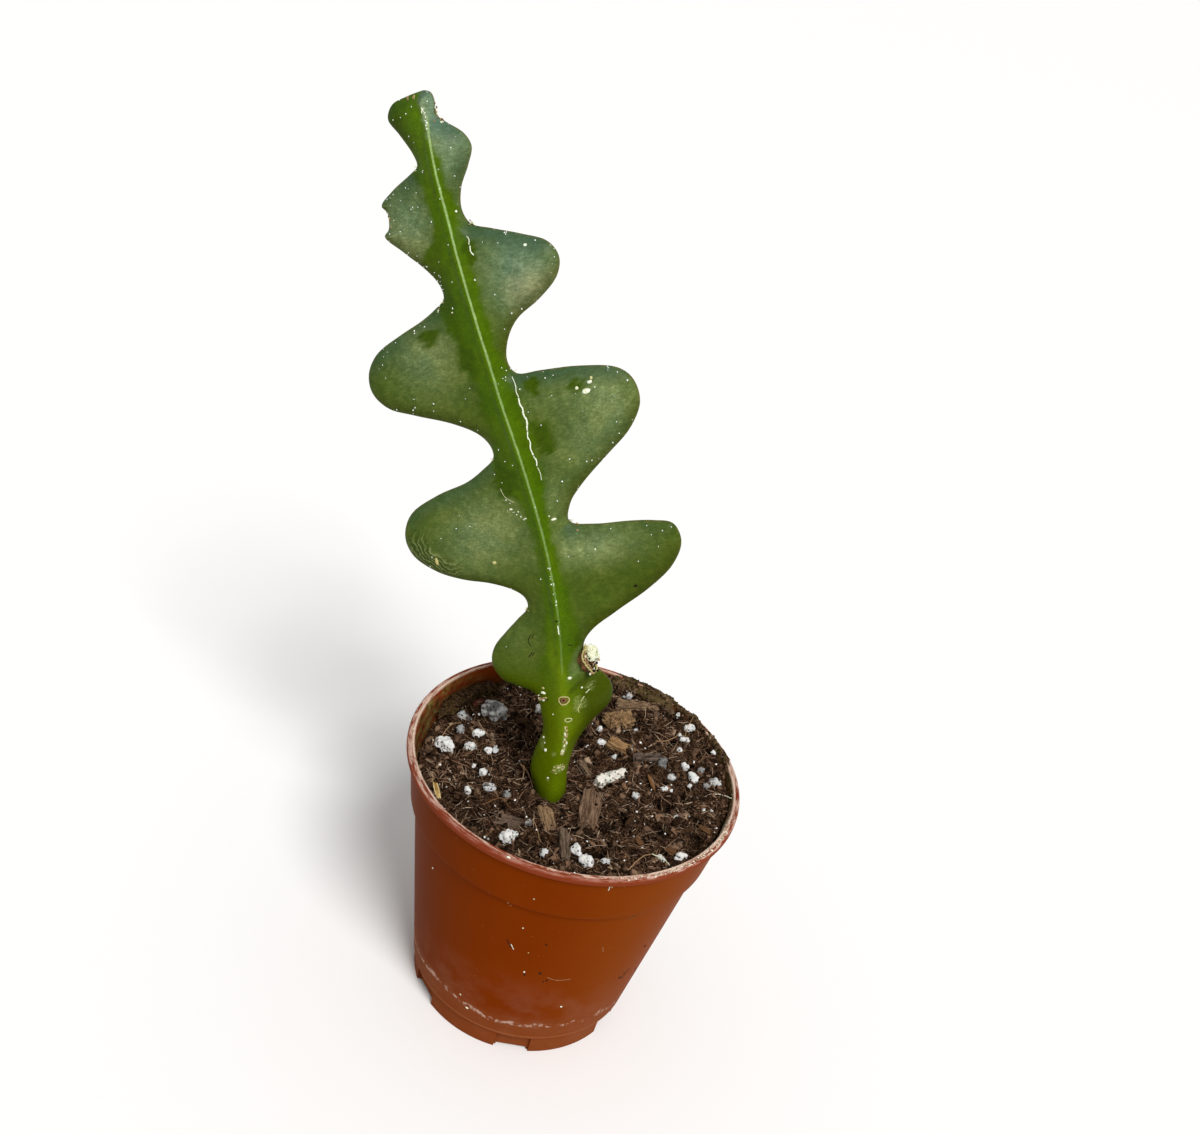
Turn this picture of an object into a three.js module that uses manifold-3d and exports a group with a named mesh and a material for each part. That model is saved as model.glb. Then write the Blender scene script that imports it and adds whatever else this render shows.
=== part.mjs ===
// Potted fishbone cactus: one flat, deeply lobed stem that stands in peat soil in a
// small plastic nursery pot, with perlite grains and bark chips lying in the soil.
//
// Millimetres, +Z up. Everything is built round the pot's axis, with the pot's foot on
// z = 0, and the whole group is moved at the end so that the origin is the middle of the
// footprint of its bounding box.

import * as THREE from 'three';
import { mergeVertices } from 'three/addons/utils/BufferGeometryUtils.js';
import Module from 'manifold-3d';

const wasm = await Module();
wasm.setup();

// ------------------------------------------------------------------ driving sizes

const CLEARANCE = 0.35; // free gap between pieces that lie against each other

const POT = {
  height: 58,
  rimRadius: 32.5,
  beadWidth: 1.3, // flat top of the rim
  beadHeight: 1.7,
  bandTopRadius: 31.6, // straight band under the rim
  bandFootRadius: 29.9,
  bandFootZ: 45.7,
  shoulder: 0.7, // step between the band and the tapered wall, in height
  wallTopRadius: 28.9,
  wallFootRadius: 22.8,
  wallFootZ: 5.4,
  footRadius: 21.9,
  footHeight: 4.3,
  footRingWidth: 1.4,
  footBack: 1.7, // thickness behind the face of the foot
  rounding: 0.4, // worn corners of the rim and of the foot
  draft: 0.1, // lean of the moulded faces
  wall: 0.9,
  floorZ: 2.0, // underside of the raised floor
  floorThickness: 1.0,
  facets: 60,
};

const FOOT_NOTCH = {
  count: 6,
  firstAngle: -81.5, // degrees from +X
  width: 7,
  depth: 0.9, // how far the foot's face steps back in a notch
  faceHeight: 4.0,
  drainHeight: 0.6, // the slot under the stepped face, right through the ring
};

const DRAIN_HOLES = { count: 6, radius: 2.4, circle: 13.5, centreRadius: 3.0, depth: 6 };

const SOIL = {
  level: 53.7, // height of the surface on the pot's axis
  slope: 0.096, // rise per millimetre towards the heaped side
  heap: 0.001, // extra rise there, per square millimetre
  heapAngle: 39, // degrees from +X
  highest: 57.6, // no higher than just under the rim
  clod: 0.45, // height of the low clods
  clodLength: 9.5, // their spacing
  rings: 10,
  facets: 60,
};

// The waves that make up the clods: [share of their height, turns along x and y, start].
const CLOD_WAVES = [[0.5, 1, 0.83, 0.3], [0.5, 1, -0.83, 1.1], [0.6, 1.02, 1.7, 2.1]];

const STEM = {
  buried: 19, // length of the shank in the soil
  buriedEnd: 0.8, // distance from its blunt end to the first cross-section
  buriedStep: 3.6, // spacing of the cross-sections in the soil
  rowStep: 1.25, // and above it
  narrowest: 0.3, // least width of a wing, next to the tip
  foldRadius: 3, // how softly the two wings bend back at the midrib
  crest: 0.95, // sharp line along the front of the midrib
  crestWidth: 1.0,
  swell: 0.85, // broad swelling under it
  swellWidth: 3.0,
  backSwell: 1.2, // rounded rib on the back
  backSwellWidth: 3.4,
  ribFade: 1.5, // distance from a margin in which the midrib dies out
};

// The crest of the midrib, from the soil to the tip.
const SPINE = [
  [-2, -4.8, 52],
  [-3.3, -3.4, 67],
  [-6.8, -2, 78.5],
  [-10.4, -0.4, 90],
  [-15.5, 1.4, 101.8],
  [-22.4, 3.7, 114],
  [-30, 6, 125.8],
  [-37.2, 8.6, 137.5],
  [-43.8, 11.3, 148.5],
  [-49.7, 14.1, 159],
  [-54.4, 17, 169.3],
];

// The two margins as [distance along the midrib, distance out from it]. Each stretch
// starts in a notch, runs out under a lobe, round its tip and back along its top.
const LEFT_MARGIN = [
  [[-19, 0], [-18.2, 1.9]], // rounded buried end
  [[-15.5, 3.0]], // shank
  [[0, 4.0], [5, 5.7], [9.5, 5.4]], // bulge over the soil
  [[14, 4.5], [18, 4.8]], // waist
  [[22.5, 5.8], [24, 9.3], [25.2, 12], [28, 13.6], [31, 13], [34.5, 10.5], [37.5, 8]],
  [[40, 5.9], [42, 6.2], [43.5, 8], [45.1, 12.5], [46, 17.5], [48, 22.5], [52, 26.6],
    [57.5, 27.5], [62, 25], [64.8, 18.5], [66.2, 12], [68, 8.2]],
  [[69.8, 5.5], [72, 5.3], [74.5, 6.7], [77.5, 11], [80.3, 17.5], [82.5, 22.2],
    [85.7, 24.4], [89, 24], [92, 21.3], [94.2, 15.7], [95.8, 10.5], [97.2, 7.3]],
  [[98.5, 5.2], [100.8, 5.2], [103.7, 6.8], [107.5, 10.2], [110.8, 13.1], [113.1, 12],
    [115.6, 12.1], [117.5, 9.5], [119.4, 5.2]],
  [[120.4, 3.5], [122.4, 3.9], [125.7, 5.8], [128.4, 7.5], [130.6, 6.3], [131.5, 3.2],
    [132, 0]],
];
const RIGHT_MARGIN = [
  [[-19, 0], [-18.2, 0.9]],
  [[-15.5, 1.3]],
  [[0, 1.9], [7, 1.3], [13, 2.2]], // narrow side of the neck
  [[17, 4.8], [20, 7.9], [23, 8.5], [26.3, 7.1], [29.3, 4.8]],
  [[32.7, 4.0], [35.7, 5.9], [38.7, 10.3], [42.6, 17], [46, 21.5], [49.5, 23.6],
    [52.4, 22.8], [53.4, 19.5], [54, 15], [54.5, 9]],
  [[55.7, 4.8], [58.8, 5.8], [61.6, 8.7], [65.7, 14.7], [69, 19.9], [72.5, 22.7],
    [76.6, 22.7], [79.5, 20.5], [81.6, 14.3], [82.6, 7.8]],
  [[83.2, 3.6], [85.5, 2.7], [89.1, 3.9], [92.1, 6.5], [94.4, 11.1], [97.3, 15],
    [100.3, 16.2], [103.3, 15], [105.7, 11], [107.9, 6.3]],
  [[109.4, 3.3], [111.9, 2.4], [115.4, 3.2], [118.8, 5.2], [121.9, 6.4], [124.3, 5.5],
    [126.6, 2.8]],
  [[127.9, 1.5], [130.4, 1.3], [132, 0]],
];

// Values that change along the stem, as [distance along the midrib, value].
const LEFT_FOLD = [[0, 4], [30, 5], [50, 8], [80, 8], [105, 12], [125, 18]]; // degrees
const RIGHT_FOLD = [[0, 20], [15, 28], [26, 20], [36, 5], [80, 5], [105, 8], [125, 10]];
const HALF_THICKNESS = [[-19, 2.4], [0, 3.2], [12, 3.1], [28, 1.75], [110, 1.6], [132, 1.5]];
const EDGE_ROUND = [[0, 3.4], [14, 3.4], [30, 6], [132, 5]]; // width of the rounded margin
const RIB_SIZE = [[-2, 0], [8, 0.9], [30, 1], [100, 0.85], [132, 0.6]];

// Places of the faces from the midrib to a margin: the crest and the rib's shoulder as
// [distance, greatest share of the wing], and the rest as shares of what is left.
const COLUMNS = { crest: [1.0, 0.2], shoulder: [2.6, 0.45], rest: [0.4, 0.75, 0.93] };

// The hole in the soil for the shank: facets, steps, where it ends and its free gap.
const SHANK_HOLE = { facets: 24, steps: 6, top: 4, gap: 1.5 * CLEARANCE };

// The dried callus in the lowest notch on the right.
const CALLUS = { along: 29.3, out: 5.0, lift: -0.5, radii: [1.7, 1.3, 2.3], seed: 41 };

// Perlite: place x, y, size along, across and upwards, and turn in degrees.
const PERLITE = [
  [-25.5, 0.5, 4.6, 3.6, 3.4, -30],
  [-20, 5.5, 2.9, 2.4, 2.4, 40],
  [-20.5, 1.5, 3.1, 2.4, 2.2, 10],
  [-24, 10, 3.5, 2.8, 2.2, 0],
  [-18.5, 13, 6.4, 5.2, 4.2, -20],
  [-17, 1.5, 1.8, 1.6, 1.5, 0],
  [-16.5, -4, 2.2, 1.8, 1.8, 60],
  [-18, -11, 2.1, 1.6, 1.5, -40],
  [-14.5, -8.5, 2.8, 2, 1.8, 15],
  [-8, -20, 4.2, 3.2, 3, 70],
  [-5, -15.5, 2.1, 1.6, 1.5, 30],
  [4.5, -19.5, 3.1, 2.3, 2.4, -70],
  [7, -21.5, 3.5, 2.8, 2.6, -25],
  [4, 11.5, 2.4, 1.8, 1.6, 10],
  [10, 17.5, 1.9, 1.5, 1.4, 20],
  [20.5, 20.5, 2.6, 2.1, 2, 45],
  [20, 17.5, 2.5, 1.8, 1.7, 5],
  [23, 6.5, 3.1, 2.3, 2.2, -45],
  [21, 9, 2, 1.6, 1.5, -30],
  [19, 5.5, 2.1, 1.9, 1.8, 0],
  [18, 2, 1.9, 1.6, 1.5, 50],
  [27, 6, 3.2, 2, 1.8, 0],
  [13, -2, 2.1, 1.7, 1.6, -30],
  [21.5, -4.5, 1.9, 1.7, 1.6, 45],
  [20, -16, 2.2, 1.8, 1.7, 0],
  [23.5, -15.5, 2.6, 1.9, 1.8, 25],
  [6.5, 27, 2.3, 1.8, 1.7, 10],
  [-10, 17, 2.6, 1.7, 2.2, 80],
];
const PERLITE_ROD = { place: [7.5, 2], length: 7.6, radius: 1.3, turn: 43, seed: 7 };

// Bark and straw: name, place x, y, size along, across and thick, turn and colour.
const CHIPS = [
  ['bark_plate', 5, -8, 9.8, 4.3, 1.7, -86, 0x5a4238],
  ['bark_split', -2.2, -13, 6.4, 2.8, 1.5, -67, 0x6d5638],
  ['bark_stick_grey', 2.2, -19, 7.8, 1.9, 1.5, -76, 0x4a3f38],
  ['bark_flat', -8.5, -15.5, 5.6, 2.5, 1.2, 6, 0x46352a],
  ['bark_sliver', 8, 11, 5.2, 2.3, 1.2, -19, 0x8a6440],
  ['bark_lump', 6, 18, 6.4, 3.9, 2.3, 28, 0x7d5c38],
  ['bark_long', 9, 24, 9, 2.9, 1.8, 20, 0x5f4d40],
  ['bark_dark', 13.5, 9.5, 6.2, 1.9, 1.1, 27, 0x2f2623],
  ['bark_stick_dark', 2, 2.6, 4, 1.2, 1.2, -52, 0x4f3f30],
  ['bark_red', -22.5, 15.5, 3.4, 2.3, 1.2, 57, 0x5c2a1c],
  ['straw', -24, -11, 7.2, 1.1, 0.9, -66, 0xb89a5a],
];

// How grains and chips are worn: the least share of the full size that a corner keeps.
const WORN = { grain: 0.8, rod: 0.84, chipEnd: 0.84, chipCorner: 0.6, chipEdge: 0.8 };
const CHIP_END = 0.45; // share of a chip's length from which its ends are worn
const CHIP_FACE = 0.7; // least share of a chip's thickness
const RAISED = 0.07; // height of a grain's middle over the soil, as a share of its own
const PIT_GAP = 1.3 * CLEARANCE; // free gap between a grain's full size and its pit

// Colour and roughness.
const SURFACES = {
  pot: [0xa4501f, 0.45],
  soil: [0x33241b, 1],
  stem: [0x4d7a22, 0.4],
  perlite: [0xe6e2d8, 0.9],
};
const BARK_ROUGHNESS = 0.95;

// ---------------------------------------------------------------------- helpers

/** Draws numbers between two limits, in the same sequence for the same seed. */
function seededRandom(seed) {
  let state = seed >>> 0;
  return (low, high) => {
    state = (state + 0x6d2b79f5) >>> 0;
    let mixed = Math.imul(state ^ (state >>> 15), state | 1);
    mixed ^= mixed + Math.imul(mixed ^ (mixed >>> 7), mixed | 61);
    const share = ((mixed ^ (mixed >>> 14)) >>> 0) / 2 ** 32;
    return low + (high - low) * share;
  };
}

/** Value at a place in a list of [place, value] stops, straight between them. */
function ramp(stops, place) {
  const after = stops.findIndex(([stop]) => stop >= place);
  if (after === 0) return stops[0][1];
  if (after < 0) return stops[stops.length - 1][1];
  const [from, low] = stops[after - 1];
  const [to, high] = stops[after];
  return THREE.MathUtils.lerp(low, high, (place - from) / (to - from));
}

/** A closed geometry as a solid, with shared vertices merged and faces turned outwards. */
function solidFrom(geometry) {
  const bare = new THREE.BufferGeometry();
  bare.setAttribute('position', geometry.getAttribute('position'));
  bare.setIndex(geometry.getIndex());
  const merged = mergeVertices(bare, 1e-4);
  const corners = merged.getIndex().array;
  const triangles = [];
  for (let i = 0; i < corners.length; i += 3) {
    const [a, b, c] = corners.slice(i, i + 3);
    if (a !== b && b !== c && c !== a) triangles.push(a, b, c);
  }
  const vertProperties = new Float32Array(merged.getAttribute('position').array);
  const build = (list) => new wasm.Manifold(
    new wasm.Mesh({ numProp: 3, vertProperties, triVerts: new Uint32Array(list) }),
  );
  const solid = build(triangles);
  return solid.volume() > 0 ? solid : build(triangles.reverse());
}

/** The surface of a solid as a geometry. */
function geometryFrom(solid) {
  const surface = solid.getMesh();
  const geometry = new THREE.BufferGeometry();
  const positions = new Float32Array(surface.vertProperties);
  geometry.setAttribute('position', new THREE.BufferAttribute(positions, 3));
  geometry.setIndex(new THREE.BufferAttribute(new Uint32Array(surface.triVerts), 1));
  geometry.computeVertexNormals();
  return geometry;
}

/** Closed skin through rings of equal length, drawn together to a point at each end. */
function ringGeometry(firstPoint, rings, lastPoint) {
  const size = rings[0].length;
  const points = [firstPoint, ...rings.flat(), lastPoint];
  const last = points.length - 1;
  const faces = [];
  for (let j = 0; j < size; j += 1) {
    const next = (j + 1) % size;
    faces.push(0, 1 + next, 1 + j);
    for (let i = 0; i < rings.length - 1; i += 1) {
      const [a, b] = [1 + i * size + j, 1 + i * size + next];
      const [c, d] = [a + size, b + size];
      // The second half of a ring is split the other way, so that a thin blade has
      // like triangles on its two faces.
      if (j < size / 2) faces.push(a, b, d, a, d, c);
      else faces.push(a, b, c, b, d, c);
    }
    const top = 1 + (rings.length - 1) * size;
    faces.push(last, top + j, top + next);
  }
  const geometry = new THREE.BufferGeometry();
  geometry.setFromPoints(points);
  geometry.setIndex(faces);
  return geometry;
}

/** The largest connected body of a solid. */
function mainBody(solid) {
  const bodies = solid.decompose();
  return bodies.reduce((best, body) => (body.volume() > best.volume() ? body : best));
}

function material(color, roughness) {
  return new THREE.MeshStandardMaterial({ color, roughness, metalness: 0 });
}

function namedMesh(name, geometry, surface) {
  const mesh = new THREE.Mesh(geometry, surface);
  mesh.name = name;
  return mesh;
}

/** A mesh's geometry, moved to where the mesh stands. */
function placed(geometry, mesh) {
  mesh.updateMatrix();
  return geometry.clone().applyMatrix4(mesh.matrix);
}

// -------------------------------------------------------------------------- pot

/** Inside of the pot from the floor to the rim, as [radius, height]. */
function potInside() {
  const { wall } = POT;
  const floorTop = POT.floorZ + POT.floorThickness;
  const footInside = POT.footRadius - POT.footBack;
  const rimInside = POT.rimRadius - POT.beadWidth;
  return [
    [footInside - POT.rounding, floorTop],
    [footInside, floorTop + POT.rounding],
    [footInside + 2 * POT.draft, POT.footHeight],
    [POT.wallFootRadius - wall, POT.wallFootZ + wall],
    [POT.wallTopRadius - wall, POT.bandFootZ - POT.shoulder],
    [POT.bandFootRadius - wall, POT.bandFootZ + POT.shoulder],
    [POT.bandTopRadius - wall, POT.height - POT.beadHeight],
    [rimInside - 2 * POT.draft, POT.height - POT.rounding],
  ];
}

function potGeometry() {
  const bead = POT.height - POT.beadHeight;
  const { draft, rounding } = POT;
  const outline = [
    [0, POT.floorZ],
    [POT.footRadius - POT.footRingWidth, POT.floorZ],
    [POT.footRadius - POT.footRingWidth + draft, 0],
    [POT.footRadius, 0],
    [POT.footRadius + 2 * draft, POT.footHeight],
    [POT.wallFootRadius - draft, POT.footHeight + rounding],
    [POT.wallFootRadius, POT.wallFootZ],
    [POT.wallTopRadius, POT.bandFootZ - POT.shoulder],
    [POT.bandFootRadius, POT.bandFootZ],
    [POT.bandTopRadius, bead],
    [POT.rimRadius - 2 * draft, bead + draft],
    [POT.rimRadius, bead + rounding],
    [POT.rimRadius, POT.height - rounding],
    [POT.rimRadius - rounding, POT.height],
    [POT.rimRadius - POT.beadWidth, POT.height],
    ...potInside().reverse(),
    [0, POT.floorZ + POT.floorThickness],
  ];
  const profile = outline.map(([radius, z]) => new THREE.Vector2(radius, z));
  const shell = new THREE.LatheGeometry(profile, POT.facets);
  shell.rotateX(Math.PI / 2); // the profile's height along +Z
  let solid = solidFrom(shell);
  for (const cut of [...footNotches(), ...drainHoles()]) {
    solid = solid.subtract(solidFrom(cut));
  }
  return geometryFrom(solid);
}

/** Cuts for the notches: a shallow step in the foot's face, and a drain slot under it. */
function footNotches() {
  const { count, firstAngle, width, depth, faceHeight, drainHeight } = FOOT_NOTCH;
  const cut = (innerRadius, across, height, angle) => {
    const length = 2 * (POT.footRadius - innerRadius);
    return new THREE.BoxGeometry(length, across, 2 * height)
      .translate(POT.footRadius, 0, 0)
      .rotateZ(angle);
  };
  return Array.from({ length: count }, (_, i) => {
    const angle = THREE.MathUtils.degToRad(firstAngle + (i * 360) / count);
    return [
      cut(POT.footRadius - depth, width, faceHeight, angle),
      cut(POT.footRadius - 2 * POT.footRingWidth, width - depth, drainHeight, angle),
    ];
  }).flat();
}

function drainHoles() {
  const { count, radius, circle, centreRadius, depth } = DRAIN_HOLES;
  const hole = (size, x, y) => new THREE.CylinderGeometry(size, size, depth, 16)
    .rotateX(Math.PI / 2)
    .translate(x, y, POT.floorZ);
  const holes = [hole(centreRadius, 0, 0)];
  for (let i = 0; i < count; i += 1) {
    const angle = (2 * Math.PI * i) / count;
    holes.push(hole(radius, circle * Math.cos(angle), circle * Math.sin(angle)));
  }
  return holes;
}

// ------------------------------------------------------------------------- stem

const spineCurve = new THREE.CatmullRomCurve3(
  SPINE.map((point) => new THREE.Vector3(...point)),
);
spineCurve.arcLengthDivisions = 800;
const spineLength = spineCurve.getLength();

/** Point on the crest line, run on straight past both ends. */
function spinePoint(along) {
  const inside = THREE.MathUtils.clamp(along, 0, spineLength);
  const share = inside / spineLength;
  return spineCurve.getPointAt(share)
    .addScaledVector(spineCurve.getTangentAt(share), along - inside);
}

/** Directions at a place along the stem: up it, out to its right and out of its back. */
function spineFrame(along) {
  const up = spinePoint(along + 1).sub(spinePoint(along - 1)).normalize();
  const right = new THREE.Vector3(0, 1, 0).cross(up).normalize();
  const back = new THREE.Vector3().crossVectors(up, right);
  return { up, right, back };
}

/** Point on the middle surface of the stem: out is negative on the left. */
function sheetPoint(along, out, lift = 0) {
  const { right, back } = spineFrame(along);
  const fold = THREE.MathUtils.degToRad(ramp(out > 0 ? RIGHT_FOLD : LEFT_FOLD, along));
  const bend = Math.hypot(out, STEM.foldRadius) - STEM.foldRadius;
  return spinePoint(along)
    .addScaledVector(right, out)
    .addScaledVector(back, Math.tan(fold) * bend + lift);
}

/** A margin as finely stepped stretches between its notches. */
function marginStretches(stretches, side) {
  const points = stretches.flat().map(([along, out]) => new THREE.Vector3(along, side * out, 0));
  const curve = new THREE.CatmullRomCurve3(points, false, 'centripetal');
  const steps = 60;
  let first = 0;
  return stretches.map((stretch) => {
    const last = Math.min(first + stretch.length, points.length - 1);
    const line = [];
    for (let i = 0; i <= steps; i += 1) {
      const index = THREE.MathUtils.lerp(first, last, i / steps);
      line.push(curve.getPoint(index / (points.length - 1)));
    }
    const lengths = [0];
    line.slice(1).forEach((point, i) => lengths.push(lengths[i] + point.distanceTo(line[i])));
    first = last;
    return { from: line[0].x, to: line[steps].x, line, lengths };
  });
}

/** The margin's point that belongs to a place on the midrib. */
function marginPoint(stretches, along) {
  const stretch = stretches.find(({ to }) => along <= to) ?? stretches[stretches.length - 1];
  const { from, to, line, lengths } = stretch;
  const share = THREE.MathUtils.clamp((along - from) / (to - from), 0, 1);
  const goal = share * lengths[lengths.length - 1];
  const after = Math.max(1, lengths.findIndex((length) => length >= goal));
  const part = (goal - lengths[after - 1]) / (lengths[after] - lengths[after - 1]);
  return line[after - 1].clone().lerp(line[after], part);
}

/** Distance from a point to the nearest margin, all in along/out coordinates. */
function marginDistance(lines, point) {
  const segment = new THREE.Line3();
  const nearest = new THREE.Vector3();
  let best = Infinity;
  for (const line of lines) {
    for (let i = 1; i < line.length; i += 1) {
      segment.set(line[i - 1], line[i]).closestPointToPoint(point, true, nearest);
      best = Math.min(best, nearest.distanceTo(point));
    }
  }
  return best;
}

/** Half thickness of the body without its midrib, at a distance from the margin. */
function bodyHalf(along, edge) {
  const reach = ramp(EDGE_ROUND, along);
  const share = Math.min(edge, reach) / reach;
  return ramp(HALF_THICKNESS, along) * Math.sqrt(1 - (1 - share) ** 2);
}

const bell = (value, width) => Math.exp(-((value / width) ** 2));

/** How far the front and the back stand out from the middle surface. */
function standOut(point, edge) {
  const half = bodyHalf(point.x, edge);
  const rib = ramp(RIB_SIZE, point.x) * Math.min(1, edge / STEM.ribFade);
  const crest = STEM.crest * bell(point.y, STEM.crestWidth);
  const swell = STEM.swell * bell(point.y, STEM.swellWidth);
  const backSwell = STEM.backSwell * bell(point.y, STEM.backSwellWidth);
  return { front: half + rib * (crest + swell), back: half + rib * backSwell };
}

/** Places from the midrib to the margin, close together at the crest and at the edge. */
function columnPlaces(reach) {
  const limited = ([distance, share]) => Math.min(distance / reach, share);
  const shoulder = limited(COLUMNS.shoulder);
  const rest = COLUMNS.rest.map((share) => THREE.MathUtils.lerp(shoulder, 1, share));
  return [limited(COLUMNS.crest), shoulder, ...rest];
}

/** Places of the cross-sections along the midrib. */
function rowPlaces() {
  const end = -STEM.buried + STEM.buriedEnd;
  const rows = [];
  for (let along = end; along < -STEM.buriedEnd; along += STEM.buriedStep) rows.push(along);
  const count = Math.round(spineLength / STEM.rowStep);
  for (let i = 0; i < count; i += 1) rows.push((i * spineLength) / count);
  return rows;
}

function stemSolid() {
  const left = marginStretches(LEFT_MARGIN, -1);
  const right = marginStretches(RIGHT_MARGIN, 1);
  const lines = [...left, ...right].map(({ line }) => line.filter((_, i) => i % 3 === 0));
  const rings = rowPlaces().map((along) => {
    const crest = new THREE.Vector3(along, 0, 0);
    const columns = (edge) => columnPlaces(Math.max(STEM.narrowest, crest.distanceTo(edge)))
      .map((share) => crest.clone().lerp(edge, share));
    const [leftEdge, rightEdge] = [marginPoint(left, along), marginPoint(right, along)];
    const across = [...columns(leftEdge).reverse(), crest, ...columns(rightEdge)];
    const lifts = across.map((point) => standOut(point, marginDistance(lines, point)));
    const front = across.map((point, i) => sheetPoint(point.x, point.y, -lifts[i].front));
    const back = across.map((point, i) => sheetPoint(point.x, point.y, lifts[i].back));
    return [
      sheetPoint(leftEdge.x, leftEdge.y),
      ...front,
      sheetPoint(rightEdge.x, rightEdge.y),
      ...back.reverse(),
    ];
  });
  const geometry = ringGeometry(sheetPoint(-STEM.buried, 0), rings, sheetPoint(spineLength, 0));
  return solidFrom(geometry).add(callusSolid());
}

/** Plain hole in the soil that the shank stands in. */
function shankHole() {
  const { facets, steps, top, gap } = SHANK_HOLE;
  const [leftMargin, rightMargin] = [
    marginStretches(LEFT_MARGIN, -1),
    marginStretches(RIGHT_MARGIN, 1),
  ];
  const ring = (along) => {
    const left = marginPoint(leftMargin, along).y;
    const right = marginPoint(rightMargin, along).y;
    const middle = (left + right) / 2;
    const width = (right - left) / 2 + gap;
    const depth = ramp(HALF_THICKNESS, along) + gap;
    const { right: side, back } = spineFrame(along);
    return Array.from({ length: facets }, (_, i) => {
      const angle = (2 * Math.PI * i) / facets;
      return spinePoint(along)
        .addScaledVector(side, middle + width * Math.cos(angle))
        .addScaledVector(back, depth * Math.sin(angle));
    });
  };
  const deepest = -STEM.buried + STEM.buriedEnd;
  const rings = Array.from({ length: steps + 1 }, (_, i) => (
    ring(THREE.MathUtils.lerp(deepest, top, i / steps))
  ));
  const below = spinePoint(-STEM.buried - gap);
  return solidFrom(ringGeometry(below, rings, spinePoint(top + gap)));
}

/** The dried lump, turned with the stem where it grows. */
function callusSolid() {
  const lump = grainGeometry(...CALLUS.radii.map((radius) => 2 * radius), CALLUS.seed, 2);
  const { up, right, back } = spineFrame(CALLUS.along);
  const place = new THREE.Matrix4().makeBasis(right, back, up);
  place.setPosition(sheetPoint(CALLUS.along, CALLUS.out, CALLUS.lift));
  return solidFrom(lump.applyMatrix4(place));
}

// ----------------------------------------------------------- grains, bark and straw

/** Lumpy grain that fills most of an ellipsoid of the given size. */
function grainGeometry(length, width, height, seed, detail = 1) {
  const between = seededRandom(seed);
  const geometry = mergeVertices(unitBall(detail));
  const position = geometry.getAttribute('position');
  const point = new THREE.Vector3();
  for (let i = 0; i < position.count; i += 1) {
    point.fromBufferAttribute(position, i).multiplyScalar(between(WORN.grain, 1));
    position.setXYZ(i, point.x, point.y, point.z);
  }
  return geometry.scale(length, width, height);
}

/** Geometry with its positions alone, so that its seams merge. */
function bareGeometry(geometry) {
  geometry.deleteAttribute('normal');
  geometry.deleteAttribute('uv');
  return geometry;
}

/** Faceted ball, one millimetre across. */
function unitBall(detail) {
  return bareGeometry(new THREE.IcosahedronGeometry(0.5, detail));
}

/** Split piece of bark: a slab with worn corners and uneven faces. */
function chipGeometry(length, width, thickness, seed) {
  const between = seededRandom(seed);
  const slab = new THREE.BoxGeometry(length, width, thickness, 4, 2, 1);
  const geometry = mergeVertices(bareGeometry(slab));
  const position = geometry.getAttribute('position');
  for (let i = 0; i < position.count; i += 1) {
    const end = Math.abs(position.getX(i)) > length * CHIP_END;
    position.setXYZ(
      i,
      position.getX(i) * (end ? between(WORN.chipEnd, 1) : 1),
      position.getY(i) * (end ? between(WORN.chipCorner, 0.9) : between(WORN.chipEdge, 1)),
      position.getZ(i) * between(CHIP_FACE, 1),
    );
  }
  return geometry;
}

/** Height of the soil's surface. */
function soilHeight(x, y) {
  const heapAngle = THREE.MathUtils.degToRad(SOIL.heapAngle);
  const towards = x * Math.cos(heapAngle) + y * Math.sin(heapAngle);
  const level = SOIL.level + SOIL.slope * towards + SOIL.heap * Math.max(0, towards) ** 2;
  const turn = (2 * Math.PI) / SOIL.clodLength;
  const clods = CLOD_WAVES.reduce((sum, [share, alongX, alongY, start]) => (
    sum + share * Math.sin(turn * (alongX * x + alongY * y) + start)
  ), 0);
  return Math.min(level + SOIL.clod * clods, SOIL.highest);
}

/** Places a mesh in the soil's surface, and the pit that it lies in. */
function settle(mesh, x, y, turn, height, pit) {
  mesh.position.set(x, y, soilHeight(x, y) + height * RAISED);
  mesh.rotation.set(0, 0, THREE.MathUtils.degToRad(turn));
  return { mesh, pit: solidFrom(placed(pit, mesh)) };
}

function perliteGrains() {
  return PERLITE.map(([x, y, length, width, height, turn], index) => {
    const name = `perlite_${String(index + 1).padStart(2, '0')}`;
    const grain = grainGeometry(length, width, height, 100 + index);
    const pit = unitBall(1)
      .scale(length + 2 * PIT_GAP, width + 2 * PIT_GAP, height + 2 * PIT_GAP);
    const mesh = namedMesh(name, grain, material(...SURFACES.perlite));
    return settle(mesh, x, y, turn, height, pit);
  });
}

function perliteRod() {
  const { place, length, radius, turn, seed } = PERLITE_ROD;
  const straight = length - 2 * radius;
  const capsule = (size) => bareGeometry(new THREE.CapsuleGeometry(size, straight, 3, 8))
    .rotateZ(Math.PI / 2);
  const rod = mergeVertices(capsule(radius));
  const between = seededRandom(seed);
  const position = rod.getAttribute('position');
  for (let i = 0; i < position.count; i += 1) {
    const worn = between(WORN.rod, 1);
    position.setXYZ(i, position.getX(i), position.getY(i) * worn, position.getZ(i) * worn);
  }
  const mesh = namedMesh('perlite_rod', rod, material(...SURFACES.perlite));
  return settle(mesh, ...place, turn, 2 * radius, capsule(radius + PIT_GAP));
}

function barkChips() {
  return CHIPS.map(([name, x, y, length, width, thickness, turn, colour], index) => {
    const chip = chipGeometry(length, width, thickness, 200 + index);
    const pit = bareGeometry(new THREE.BoxGeometry(
      length + 2 * CLEARANCE,
      width + 2 * CLEARANCE,
      thickness + 2 * CLEARANCE,
    ));
    const mesh = namedMesh(name, chip, material(colour, BARK_ROUGHNESS));
    return settle(mesh, x, y, turn, thickness, pit);
  });
}

// ------------------------------------------------------------------------- soil

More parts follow.
